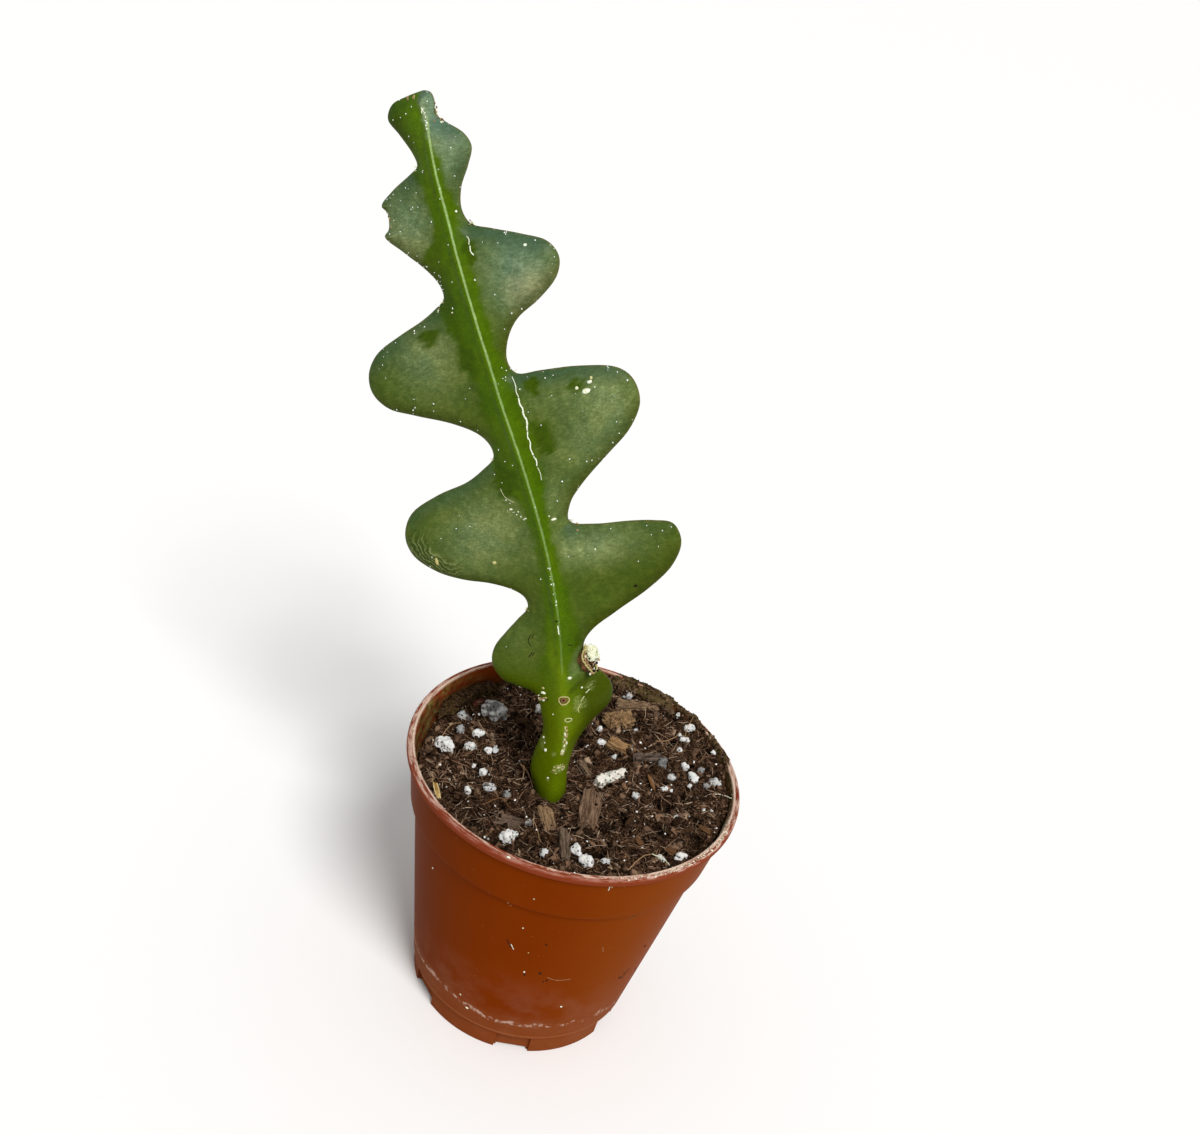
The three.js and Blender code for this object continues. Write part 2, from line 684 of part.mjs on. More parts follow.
/** Soil that fills the pot, with the stem's hole and the pits of the grains. */
function soilGeometry(pits) {
  const inside = potInside();
  const bottom = inside[0][1] + CLEARANCE;
  const radiusAt = (z) => ramp(inside.map(([radius, height]) => [height, radius]), z) - CLEARANCE;
  const around = Array.from({ length: SOIL.facets }, (_, i) => (2 * Math.PI * i) / SOIL.facets);
  const topRing = (share) => around.map((angle) => {
    const level = radiusAt(SOIL.level);
    const edgeHeight = soilHeight(level * Math.cos(angle), level * Math.sin(angle));
    const radius = share * radiusAt(edgeHeight);
    const [x, y] = [radius * Math.cos(angle), radius * Math.sin(angle)];
    return new THREE.Vector3(x, y, soilHeight(x, y));
  });
  const sideRing = (z) => around.map((angle) => new THREE.Vector3(
    radiusAt(z) * Math.cos(angle),
    radiusAt(z) * Math.sin(angle),
    z,
  ));
  const topRings = Array.from({ length: SOIL.rings }, (_, i) => topRing((i + 1) / SOIL.rings));
  const lowest = Math.min(...topRings[SOIL.rings - 1].map(({ z }) => z));
  const corners = inside.map(([, height]) => height)
    .filter((height) => height > bottom + CLEARANCE && height < lowest);
  const rings = [...topRings, ...[bottom, ...corners].reverse().map(sideRing)];
  const middle = new THREE.Vector3(0, 0, soilHeight(0, 0));
  let soil = solidFrom(ringGeometry(middle, rings, new THREE.Vector3(0, 0, bottom)));
  soil = soil.subtract(shankHole());
  for (const pit of pits) soil = soil.subtract(pit);
  return geometryFrom(mainBody(soil));
}

// --------------------------------------------------------------------- assembly

const settled = [...perliteGrains(), perliteRod(), ...barkChips()];
const pieces = [
  namedMesh('pot', potGeometry(), material(...SURFACES.pot)),
  namedMesh('soil', soilGeometry(settled.map(({ pit }) => pit)), material(...SURFACES.soil)),
  namedMesh('stem', geometryFrom(stemSolid()), material(...SURFACES.stem)),
  ...settled.map(({ mesh }) => mesh),
];

const plant = new THREE.Group();
plant.add(...pieces);
const bounds = new THREE.Box3().setFromObject(plant, true);
const footprint = bounds.getCenter(new THREE.Vector3());
plant.position.set(-footprint.x, -footprint.y, -bounds.min.z);
plant.updateMatrixWorld(true);

export default plant;
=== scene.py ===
"""Looks of a potted fishbone cactus, built around its CAD frame.

Shapes are worked out in millimetres round the pot's axis, with the pot's foot on z = 0,
and written to the meshes in metres in the frame of the part. A place on the stem is given
as along, the way up its crest from the soil, and out, the way from the crest to the right.
"""

import logging
import math
from dataclasses import dataclass, field
from enum import Enum
from functools import cache

import bmesh
import bpy
import numpy as np
from mathutils import Euler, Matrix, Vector, noise


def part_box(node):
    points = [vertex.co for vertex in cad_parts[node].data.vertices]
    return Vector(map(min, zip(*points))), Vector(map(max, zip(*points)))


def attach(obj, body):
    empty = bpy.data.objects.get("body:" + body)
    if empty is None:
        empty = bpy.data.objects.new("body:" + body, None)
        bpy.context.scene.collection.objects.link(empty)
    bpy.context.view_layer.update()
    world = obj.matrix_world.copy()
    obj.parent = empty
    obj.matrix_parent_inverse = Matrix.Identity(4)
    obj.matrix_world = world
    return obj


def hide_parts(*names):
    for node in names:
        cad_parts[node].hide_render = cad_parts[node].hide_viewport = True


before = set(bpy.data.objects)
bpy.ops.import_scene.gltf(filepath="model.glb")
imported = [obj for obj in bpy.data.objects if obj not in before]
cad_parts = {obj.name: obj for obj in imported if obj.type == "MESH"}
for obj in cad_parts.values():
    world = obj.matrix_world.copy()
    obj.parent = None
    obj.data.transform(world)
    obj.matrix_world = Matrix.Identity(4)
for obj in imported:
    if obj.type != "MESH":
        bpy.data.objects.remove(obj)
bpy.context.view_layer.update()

logging.basicConfig(level=logging.INFO, format="%(name)s: %(message)s")
log = logging.getLogger("cactus")

MM = 0.001
FULL_TURN = 2 * math.pi

_low, _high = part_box("pot")
AXIS = np.array([(_low.x + _high.x) / 2, (_low.y + _high.y) / 2, _low.z]) / MM

Color = tuple[float, float, float, float]
Faces = list[tuple[int, ...]]
Array = np.ndarray
Rng = np.random.Generator
Mesh = bpy.types.Mesh
Material = bpy.types.Material


class Slot(Enum):
    """Material slots of the record."""

    POT = "pot_plastic"
    SOIL = "soil"
    STEM = "stem_skin"
    PERLITE = "perlite"
    BARK = "bark"
    STRAW = "straw"


class Blend(Enum):
    """Ways in which one colour goes over another."""

    COVER = "MIX"
    OVERLAY = "OVERLAY"
    MULTIPLY = "MULTIPLY"


def srgb(red: float, green: float, blue: float) -> Color:
    """Linear colour from display values of 0 to 255.

    Args:
        red: Red.
        green: Green.
        blue: Blue.

    Returns:
        The colour, with an alpha of 1.
    """
    shares = np.array([red, green, blue]) / 255
    linear = np.where(shares <= 0.04045, shares / 12.92, ((shares + 0.055) / 1.055) ** 2.4)
    return (*linear.tolist(), 1.0)


def smooth(value: Array, low: float, high: float) -> Array:
    """Smooth step from 0 at low to 1 at high."""
    share = np.clip((value - low) / (high - low), 0, 1)
    return share * share * (3 - 2 * share)


def ramp(stops: tuple, place: Array) -> Array:
    """Values at places in a list of (place, value) stops, straight between them."""
    return np.interp(place, [stop[0] for stop in stops], [stop[1] for stop in stops])


def unit(vectors: Array) -> Array:
    """Vectors of length 1 in the same directions."""
    return vectors / np.linalg.norm(vectors, axis=-1, keepdims=True)


def spaced(low: float, high: float, step: float) -> Array:
    """Evenly spaced values from low to high, about a step apart."""
    return np.linspace(low, high, max(2, round((high - low) / step) + 1))


# ---------------------------------------------------------------------------- node trees


class Wire:
    """Output of a node that takes part in arithmetic; each operation adds a Math node."""

    def __init__(self, tree: "NodeTree", socket: bpy.types.NodeSocket) -> None:
        """Keeps the output and the tree that it belongs to."""
        self.tree = tree
        self.socket = socket

    def __add__(self, other: "Wire | float") -> "Wire":
        """Sum."""
        return self.tree.math("ADD", self, other)

    def __radd__(self, other: float) -> "Wire":
        """Sum that starts with a number."""
        return self.tree.math("ADD", other, self)

    def __sub__(self, other: "Wire | float") -> "Wire":
        """Difference."""
        return self.tree.math("SUBTRACT", self, other)

    def __rsub__(self, other: float) -> "Wire":
        """Difference that starts with a number."""
        return self.tree.math("SUBTRACT", other, self)

    def __mul__(self, other: "Wire | float") -> "Wire":
        """Product."""
        return self.tree.math("MULTIPLY", self, other)

    def __rmul__(self, other: float) -> "Wire":
        """Product that starts with a number."""
        return self.tree.math("MULTIPLY", other, self)

    def __truediv__(self, other: "Wire | float") -> "Wire":
        """Quotient."""
        return self.tree.math("DIVIDE", self, other)

    def __rtruediv__(self, other: float) -> "Wire":
        """Quotient that starts with a number."""
        return self.tree.math("DIVIDE", other, self)

    def __abs__(self) -> "Wire":
        """Size without its sign."""
        return self.tree.math("ABSOLUTE", self)


class NodeTree:
    """Node tree that is built through one method for every kind of node."""

    def __init__(self, tree: bpy.types.NodeTree) -> None:
        """Takes over an empty tree."""
        self.tree = tree

    def node(self, kind: str, settings: dict | None = None, inputs: dict | None = None,
             output: str | None = None) -> Wire:
        """Adds a node.

        Args:
            kind: Type name of the node.
            settings: Properties, set before the inputs.
            inputs: Values, wires or lists of wires by the identifier of the input.
            output: Identifier of the output, or None for the first one.

        Returns:
            The wire from that output.
        """
        made = self.tree.nodes.new(kind)
        for name, value in (settings or {}).items():
            setattr(made, name, value)
        sockets = {socket.identifier: socket for socket in made.inputs}
        for name, value in (inputs or {}).items():
            several = isinstance(value, list)
            for one in value if several else [value]:
                if isinstance(one, Wire):
                    self.tree.links.new(one.socket, sockets[name])
                else:
                    sockets[name].default_value = one
        outputs = {socket.identifier: socket for socket in made.outputs}
        return Wire(self, outputs[output] if output else made.outputs[0])

    def math(self, operation: str, first: "Wire | float", second: "Wire | float" = 0.0) -> Wire:
        """Number from a Math node."""
        return self.node("ShaderNodeMath", {"operation": operation},
                         {"Value": first, "Value_001": second})

    def vector(self, operation: str, first: "Wire | tuple", second: "Wire | tuple") -> Wire:
        """Vector from a Vector Math node."""
        return self.node("ShaderNodeVectorMath", {"operation": operation},
                         {"Vector": first, "Vector_001": second})

    def scaled(self, vector: Wire, factor: "Wire | float") -> Wire:
        """Vector times a number."""
        return self.node("ShaderNodeVectorMath", {"operation": "SCALE"},
                         {"Vector": vector, "Scale": factor})

    def join(self, x: "Wire | float", y: "Wire | float", z: "Wire | float") -> Wire:
        """Vector of three numbers."""
        return self.node("ShaderNodeCombineXYZ", None, {"X": x, "Y": y, "Z": z})

    def axis(self, vector: Wire, letter: str) -> Wire:
        """One number of a vector."""
        return self.node("ShaderNodeSeparateXYZ", None, {"Vector": vector}, letter)

    def step(self, value: Wire, low: float, high: float) -> Wire:
        """Smooth step from 0 at low to 1 at high.

        Args:
            value: Number to be stepped.
            low: Place of 0, which may be above that of 1.
            high: Place of 1.

        Returns:
            The share of 0 to 1.
        """
        flip = low > high
        limits = {"From Min": min(low, high), "From Max": max(low, high),
                  "To Min": 1.0 if flip else 0.0, "To Max": 0.0 if flip else 1.0}
        return self.node("ShaderNodeMapRange", {"interpolation_type": "SMOOTHSTEP"},
                         {"Value": value, **limits})

    def noise(self, place: Wire, size: float, detail: float = 3.0, roughness: float = 0.55,
              output: str = "Fac") -> Wire:
        """Noise with features of about the given size in millimetres.

        Args:
            place: Place in millimetres.
            size: Size of the features.
            detail: Number of finer layers.
            roughness: Weight of those layers.
            output: Identifier of the output.

        Returns:
            The wire from that output.
        """
        return self.node("ShaderNodeTexNoise", None, {
            "Vector": place, "Scale": 1 / size, "Detail": detail, "Roughness": roughness,
            "Distortion": 0.0}, output)

    def cells(self, place: Wire, size: float, output: str = "Distance") -> Wire:
        """Cells of about the given size in millimetres."""
        return self.node("ShaderNodeTexVoronoi", None,
                         {"Vector": place, "Scale": 1 / size}, output)


class Paint(NodeTree):
    """Material with one Principled shader."""

    def __init__(self, name: str, **constants: "float | Color") -> None:
        """Starts a material.

        Args:
            name: Name of the material.
            constants: Inputs of the shader by name, with _ for a space.
        """
        self.material = bpy.data.materials.new(f"look_{name}")
        self.material.use_nodes = True
        super().__init__(self.material.node_tree)
        self.tree.nodes.clear()
        self.shader = self.tree.nodes.new("ShaderNodeBsdfPrincipled")
        exit_node = self.tree.nodes.new("ShaderNodeOutputMaterial")
        self.tree.links.new(self.shader.outputs[0], exit_node.inputs[0])
        for constant, value in constants.items():
            self.shader.inputs[constant.replace("_", " ")].default_value = value

    def place(self) -> Wire:
        """Place on the object in millimetres round the pot's axis."""
        found = self.node("ShaderNodeTexCoord", output="Object")
        return self.vector("SUBTRACT", self.scaled(found, 1 / MM), tuple(AXIS))

    def value(self, name: str) -> Wire:
        """Value painted on the points of the mesh."""
        return self.node("ShaderNodeAttribute", {"attribute_name": name}, output="Fac")

    def chip_place(self) -> Wire:
        """Place on a chip, turned so that X runs along its grain."""
        return self.node("ShaderNodeAttribute", {"attribute_name": "chip_place"}, output="Vector")

    def mix(self, share: "Wire | float", first: "Wire | Color", second: "Wire | Color",
            blend: Blend = Blend.COVER) -> Wire:
        """Colour between two colours.

        Args:
            share: Share of the second colour.
            first: Colour below.
            second: Colour over it.
            blend: How it goes over the first.

        Returns:
            The colour.
        """
        return self.node("ShaderNodeMix", {"data_type": "RGBA", "blend_type": blend.value},
                         {"Factor_Float": share, "A_Color": first, "B_Color": second},
                         "Result_Color")

    def coats(self, base: "Wire | Color", *coats: "tuple[Wire | float, Wire | Color]") -> Wire:
        """Colour under several coats.

        Args:
            base: Lowest colour.
            coats: Share and colour of each coat, from the lowest up.

        Returns:
            The colour that is seen.
        """
        for share, color in coats:
            base = self.mix(share, base, color)
        return base

    def finish(self, color: "Wire | Color", roughness: "Wire | float",
               relief: Wire | None = None, depth: float = 0.05,
               coat: "Wire | float" = 0.0) -> Material:
        """Connects the look.

        Args:
            color: Base colour.
            roughness: Roughness.
            relief: Height of the relief, 0 to 1, or None for a plain surface.
            depth: Depth of the relief in millimetres.
            coat: Weight of the glossy coat.

        Returns:
            The finished material.
        """
        wanted = {"Base Color": color, "Roughness": roughness, "Coat Weight": coat}
        if relief is not None:
            wanted["Normal"] = self.node("ShaderNodeBump", None, {
                "Strength": 1.0, "Distance": depth * MM, "Height": relief})
        for name, value in wanted.items():
            if isinstance(value, Wire):
                self.tree.links.new(value.socket, self.shader.inputs[name])
            else:
                self.shader.inputs[name].default_value = value
        return self.material


class Growth(NodeTree):
    """Geometry node tree with named inputs that is run once on a mesh."""

    def __init__(self, name: str) -> None:
        """Starts a tree that takes a geometry in and gives one out.

        Args:
            name: Name of the tree.
        """
        super().__init__(bpy.data.node_groups.new(name, "GeometryNodeTree"))
        for direction in ("INPUT", "OUTPUT"):
            self.tree.interface.new_socket("Geometry", in_out=direction,
                                           socket_type="NodeSocketGeometry")
        self.name = name
        self.entry = self.tree.nodes.new("NodeGroupInput")
        self.leave = self.tree.nodes.new("NodeGroupOutput")
        self.start = Wire(self, self.entry.outputs[0])
        self.given: dict[str, float | int] = {}

    def size(self, name: str, value: float | int) -> Wire:
        """Adds a named input.

        Args:
            name: Name of the input.
            value: Value that it is given when the tree runs.

        Returns:
            The wire from the input.
        """
        kind = "NodeSocketInt" if isinstance(value, int) else "NodeSocketFloat"
        socket = self.tree.interface.new_socket(name, in_out="INPUT", socket_type=kind)
        self.given[socket.identifier] = value
        found = next(out for out in self.entry.outputs if out.identifier == socket.identifier)
        return Wire(self, found)

    def place(self) -> Wire:
        """Place of a point in millimetres."""
        return self.scaled(self.node("GeometryNodeInputPosition"), 1 / MM)

    def random(self, low: float, high: float, seed: int) -> Wire:
        """Random number for each point."""
        return self.node("FunctionNodeRandomValue", {"data_type": "FLOAT"},
                         {"Min_001": low, "Max_001": high, "Seed": seed}, "Value_001")

    def random_vector(self, low: tuple, high: tuple, seed: int) -> Wire:
        """Random vector for each point."""
        return self.node("FunctionNodeRandomValue", {"data_type": "FLOAT_VECTOR"},
                         {"Min": low, "Max": high, "Seed": seed}, "Value")

    def turned(self, angles: Wire) -> Wire:
        """Turn by three angles."""
        return self.node("FunctionNodeEulerToRotation", None, {"Euler": angles})

    def moved(self, geometry: Wire, offset: Wire) -> Wire:
        """Geometry with its points moved."""
        return self.node("GeometryNodeSetPosition", None,
                         {"Geometry": geometry, "Offset": offset})

    def stored(self, geometry: Wire, name: str, value: Wire, domain: str = "POINT") -> Wire:
        """Geometry with a named value.

        Args:
            geometry: The geometry.
            name: Name of the value.
            value: The value.
            domain: What it is stored on.

        Returns:
            The geometry with the value.
        """
        return self.node("GeometryNodeStoreNamedAttribute",
                         {"data_type": "FLOAT", "domain": domain},
                         {"Geometry": geometry, "Name": name, "Value": value})

    def named(self, name: str, kind: str = "FLOAT") -> Wire:
        """Named value of a point."""
        return self.node("GeometryNodeInputNamedAttribute", {"data_type": kind},
                         {"Name": name}, "Attribute")

    def even(self, value: Wire) -> Wire:
        """Vector with the same value on all three axes."""
        return self.join(value, value, value)

    def strewn(self, density: Wire, seed: Wire) -> Wire:
        """Random points on the faces of the mesh that the tree starts from."""
        return self.node("GeometryNodeDistributePointsOnFaces", None,
                         {"Mesh": self.start, "Density": density, "Seed": seed})

    def points(self) -> Wire:
        """Points of the mesh that the tree starts from."""
        return self.node("GeometryNodeMeshToPoints", None, {"Mesh": self.start})

    def shaken(self, place: Wire, size: float, middle: float = 0.5) -> Wire:
        """Vector of about -0.5 to 0.5 that changes smoothly over features of a size."""
        return self.vector("SUBTRACT", self.noise(place, size, 2.0, output="Color"),
                           (0.5, 0.5, middle))

    def instances(self, points: Wire, instance: Wire, **inputs: "Wire | bool") -> Wire:
        """Instances on points, with inputs named as on the node and _ for a space.

        Args:
            points: The points.
            instance: What stands on each of them.
            inputs: Other inputs of the node.

        Returns:
            The instances.
        """
        return self.node("GeometryNodeInstanceOnPoints", None, {
            "Points": points, "Instance": instance,
            **{name.replace("_", " "): value for name, value in inputs.items()}})

    def worn(self, blocks: list[Wire], apart: float, size: float, uneven: float) -> Wire:
        """Kinds of crumbs that differ by their wear.

        Args:
            blocks: Geometry of each kind.
            apart: Distance between the places of the kinds in the noise.
            size: Size of the noise's features in millimetres.
            uneven: Depth of the wear in millimetres.

        Returns:
            The kinds as instances to pick from.
        """
        made = []
        for kind, block in enumerate(blocks):
            place = self.vector("ADD", self.place(), (apart * kind, 0.0, 0.0))
            rough = self.moved(block, self.scaled(self.shaken(place, size), uneven * MM))
            made.append(self.node("GeometryNodeGeometryToInstance", None, {"Geometry": [rough]}))
        return self.node("GeometryNodeJoinGeometry", None, {"Geometry": made})

    def crumbs(self, kinds: int, subdivisions: int, uneven: float) -> Wire:
        """Kinds of uneven round crumbs of about one millimetre's radius.

        Args:
            kinds: Number of kinds.
            subdivisions: How fine they are.
            uneven: Depth of the wear in millimetres.

        Returns:
            The kinds as instances to pick from.
        """
        balls = [self.node("GeometryNodeMeshIcoSphere", None,
                           {"Radius": MM, "Subdivisions": subdivisions}) for _ in range(kinds)]
        return self.worn(balls, apart=11.3, size=1.3, uneven=uneven)

    def scattered(self, points: Wire, kinds: Wire, count: int, low: tuple, high: tuple,
                  seed: int, turns: tuple = (FULL_TURN,) * 3, palest: float = 1.0) -> Wire:
        """Crumbs on points, each with a random turn, size and tone.

        Args:
            points: Points that they stand on.
            kinds: Instances to pick from.
            count: Number of kinds.
            low: Smallest size on each axis.
            high: Largest size on each axis.
            seed: Seed of the picks, and with what follows it of the turns, sizes and tones.
            turns: Largest turn round each axis.
            palest: Highest tone.

        Returns:
            The instances.
        """
        index = self.node("FunctionNodeRandomValue", {"data_type": "INT"},
                          {"Min_002": 0, "Max_002": count - 1, "Seed": seed}, "Value_002")
        spread = self.instances(
            points, kinds, Pick_Instance=True, Instance_Index=index,
            Rotation=self.turned(self.random_vector((0.0,) * 3, turns, seed + 1)),
            Scale=self.random_vector(low, high, seed + 2))
        return self.stored(spread, "tone", self.random(0.0, palest, seed + 3), "INSTANCE")

    def real(self, geometry: Wire) -> Wire:
        """Geometry with its instances made real."""
        return self.node("GeometryNodeRealizeInstances", None, {"Geometry": geometry})

    def run(self, base: Mesh, result: Wire, material: Material) -> Mesh:
        """Runs the tree on a mesh.

        Args:
            base: Mesh that the tree starts from.
            result: Geometry that it ends with.
            material: Material of the new mesh.

        Returns:
            The new mesh.
        """
        done = self.node("GeometryNodeSetMaterial", None,
                         {"Geometry": self.real(result), "Material": material})
        self.tree.links.new(done.socket, self.leave.inputs[0])
        carrier = bpy.data.objects.new(self.name, base)
        bpy.context.scene.collection.objects.link(carrier)
        modifier = carrier.modifiers.new(self.name, "NODES")
        modifier.node_group = self.tree
        for identifier, value in self.given.items():
            modifier[identifier] = value
        graph = bpy.context.evaluated_depsgraph_get()
        mesh = bpy.data.meshes.new_from_object(
            carrier.evaluated_get(graph), preserve_all_data_layers=True, depsgraph=graph)
        carrier.modifiers.remove(modifier)
        bpy.data.objects.remove(carrier)
        return mesh


# -------------------------------------------------------------------------------- shapes


@dataclass
class Shape:
    """Surface in pot millimetres with values painted on its points."""

    points: Array
    faces: Faces
    values: dict[str, Array] = field(default_factory=dict)

    def painted(self, **values: "float | Array") -> "Shape":
        """The same shape with a number for all points, or a number or vector for each.

        Args:
            values: The numbers or vectors by their names.

        Returns:
            The shape itself.
        """
        for name, value in values.items():
            value = np.asarray(value, float)
            self.values[name] = np.broadcast_to(value, (len(self.points), *value.shape[1:]))
        return self

    def outward(self) -> "Shape":
        """The same closed shape with its faces turned outwards.

        Returns:
            The shape itself.
        """
        volume = 0.0
        for count in {len(face) for face in self.faces}:
            corners = self.points[[face for face in self.faces if len(face) == count]]
            for i in range(1, count - 1):
                volume += np.einsum("ij,ij->", corners[:, 0],
                                    np.cross(corners[:, i], corners[:, i + 1]))
        if volume < 0:
            self.faces = [face[::-1] for face in self.faces]
        return self

    @staticmethod
    def joined(shapes: "list[Shape]") -> "Shape":
        """Several shapes as one.

        Args:
            shapes: The shapes.

        Returns:
            One shape, with the values that they share.
        """
        names = sorted(set.intersection(*(set(shape.values) for shape in shapes)))
        faces, start = [], 0
        for shape in shapes:
            faces += [tuple(start + i for i in face) for face in shape.faces]
            start += len(shape.points)
        values = {name: np.concatenate([shape.values[name] for shape in shapes])
                  for name in names}
        return Shape(np.vstack([shape.points for shape in shapes]), faces, values)

    def mesh(self, name: str) -> Mesh:
        """The shape as a mesh.

        Args:
            name: Name of the mesh.

        Returns:
            The mesh in the frame of the part, with the values as its attributes.
        """
        mesh = bpy.data.meshes.new(name)
        mesh.from_pydata(((self.points + AXIS) * MM).tolist(), [], self.faces)
        for value_name, value in self.values.items():
            kind, key = ("FLOAT", "value") if value.ndim == 1 else ("FLOAT_VECTOR", "vector")
            layer = mesh.attributes.new(value_name, kind, "POINT")
            layer.data.foreach_set(key, np.ascontiguousarray(value, dtype=np.float32).ravel())
        return mesh


class Curve:
    """Centripetal Catmull-Rom curve through a list of points."""

    def __init__(self, points: "tuple | list | Array") -> None:
        """Adds a point before the first and after the last one.

        Args:
            points: Points that it runs through.
        """
        points = np.asarray(points, float)
        self.count = len(points)
        ends = 2 * points[[0, -1]] - points[[1, -2]]
        self.points = np.vstack([ends[:1], points, ends[1:]])

    def at(self, place: Array) -> Array:
        """Finds points on the curve.

        Args:
            place: Places counted in control points.

        Returns:
            The points.
        """
        index = np.clip(np.floor(place).astype(int), 0, self.count - 2)
        share = (place - index)[:, None]
        before, start, end, after = (self.points[index + i] for i in range(4))
        gaps = [np.linalg.norm(b - a, axis=1, keepdims=True) ** 0.5
                for a, b in ((before, start), (start, end), (end, after))]
        leave = gaps[1] * ((start - before) / gaps[0] - (end - before) / (gaps[0] + gaps[1])
                           + (end - start) / gaps[1])
        arrive = gaps[1] * ((end - start) / gaps[1] - (after - start) / (gaps[1] + gaps[2])
                            + (after - end) / gaps[2])
        return (start + leave * share
                + (3 * (end - start) - 2 * leave - arrive) * share ** 2
                + (2 * (start - end) + leave + arrive) * share ** 3)

    def path(self, steps: int) -> Array:
        """Points along the whole curve, with a number of steps for each control point."""
        return self.at(np.linspace(0, self.count - 1, steps * self.count))


def ringed(rings: Array, first: Array, last: Array) -> Shape:
    """Closed skin through rings of points, drawn together to a point at each end.

    Args:
        rings: Rings of points, all of the same number.
        first: Point before the first ring.
        last: Point after the last ring.

    Returns:
        The skin.
    """
    count, size = rings.shape[:2]
    points = np.vstack([first, rings.reshape(-1, 3), last])
    faces: Faces = []
    ahead = np.roll(np.arange(size), -1)
    for i in range(count - 1):
        low = 1 + i * size
        faces += [(low + j, low + k, low + size + k, low + size + j)
                  for j, k in enumerate(ahead)]
    top = 1 + (count - 1) * size
    faces += [(0, 1 + k, 1 + j) for j, k in enumerate(ahead)]
    faces += [(len(points) - 1, top + j, top + k) for j, k in enumerate(ahead)]
    return Shape(points, faces).outward()


def tube(path: Array, radii: "float | Array", up: "Array | tuple" = (0.1, 0.3, 1),
         flat: float = 1.0, sides: int = 6) -> Shape:
    """Closed tube along a path.

    Args:
        path: Points of its middle line.
        radii: Radius, or one for each point.
        up: Direction of its short side.
        flat: Its height as a share of its width.
        sides: Number of its sides.

    Returns:
        The tube, with blunt ends.
    """
    blunt = 0.6
    radii = np.broadcast_to(radii, len(path))
    ahead = unit(np.gradient(path, axis=0))
    side = unit(np.cross(ahead, np.broadcast_to(up, ahead.shape)))
    top = np.cross(side, ahead)
    angles = np.linspace(0, FULL_TURN, sides, endpoint=False)
    ring = (np.cos(angles)[None, :, None] * side[:, None]
            + flat * np.sin(angles)[None, :, None] * top[:, None])
    rings = path[:, None] + radii[:, None, None] * ring
    ends = blunt * radii[[0, -1], None] * ahead[[0, -1]]
    return ringed(rings, path[0] - ends[0], path[-1] + ends[1])


def taken(made: bmesh.types.BMesh) -> tuple[Array, Faces]:
    """Points and faces of a bmesh, which is freed.

    Args:
        made: The bmesh.

    Returns:
        The points and the faces.
    """
    points = np.array([point.co[:] for point in made.verts])
    faces = [tuple(point.index for point in face.verts) for face in made.faces]
    made.free()
    return points, faces


def lump(centre: Array, axes: Array, radii: tuple, rng: Rng, uneven: float = 0.15,
         detail: int = 2) -> Shape:
    """Uneven lump.

    Args:
        centre: Its middle.
        axes: Rows with the directions of its axes.
        radii: Radius along each axis.
        rng: Source of the place in the noise that shapes it.
        uneven: Height of its bumps as a share of its size.
        detail: Number of times that its faces are split.

    Returns:
        The lump.
    """
    made = bmesh.new()
    bmesh.ops.create_icosphere(made, subdivisions=detail, radius=1.0)
    points, faces = taken(made)
    start = rng.uniform(-50, 50, 3)
    swell = np.array([noise.noise(Vector(point * 1.6 + start)) for point in points])
    points = points * (1 + 2 * uneven * swell[:, None])
    return Shape(centre + (points * radii) @ axes, faces).outward()


def any_axes(rng: Rng) -> Array:
    """Rows of three axes that point anywhere."""
    return np.linalg.qr(rng.normal(size=(3, 3)))[0]


def add_piece(name: str, mesh: Mesh, material: Material, slot: Slot,
              nodes: "list[str] | tuple[str, ...]" = (), sharp: float = 180.0) -> None:
    """Adds a mesh to the object.

    Args:
        name: Name of the piece.
        mesh: Its mesh.
        material: Its material.
        slot: Material slot of the record for its finish; not used.
        nodes: CAD nodes that it stands for.
        sharp: Angle in degrees from which edges stay sharp.
    """
    mesh.name = name
    mesh.materials.clear()
    mesh.materials.append(material)
    mesh.shade_smooth()
    if sharp < 180:
        mesh.set_sharp_from_angle(angle=math.radians(sharp))
    piece = bpy.data.objects.new(name, mesh)
    bpy.context.scene.collection.objects.link(piece)
    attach(piece, "root")
    if nodes:
        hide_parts(*nodes)
    triangles = sum(len(face.vertices) - 2 for face in mesh.polygons)
    log.info("%s: %d triangles, in place of %d nodes", name, triangles, len(nodes))


# ---------------------------------------------------------------------------------- stem


class Margin:
    """One margin of the stem, in stretches from notch to notch."""

    STEPS = 60

    def __init__(self, stretches: tuple, side: int) -> None:
        """Runs one curve through all stretches.

        Args:
            stretches: Stretches from notch to notch, each of places along and out.
            side: -1 for the left and 1 for the right.
        """
        curve = Curve([(along, side * out) for stretch in stretches for along, out in stretch])
        self.stretches = []
        first = 0
        for stretch in stretches:
            last = min(first + len(stretch), curve.count - 1)
            line = curve.at(np.linspace(first, last, self.STEPS + 1))
            gaps = np.linalg.norm(np.diff(line, axis=0), axis=1)
            self.stretches.append((line, np.r_[0, np.cumsum(gaps)]))
            first = last
        self.line = np.vstack([line for line, _ in self.stretches])

    def at(self, along: Array) -> Array:
        """Finds the points of the margin that belong to places on the crest.

        Args:
            along: Places on the crest.

        Returns:
            Rows of along and out.
        """
        found = np.zeros((len(along), 2))
        done = np.zeros(len(along), bool)
        for line, lengths in self.stretches:
            here = ~done & (along <= line[-1, 0])
            share = np.clip((along[here] - line[0, 0]) / (line[-1, 0] - line[0, 0]), 0, 1)
            for axis in (0, 1):
                found[here, axis] = np.interp(share * lengths[-1], lengths, line[:, axis])
            done |= here
        found[~done] = self.stretches[-1][0][-1]
        return found


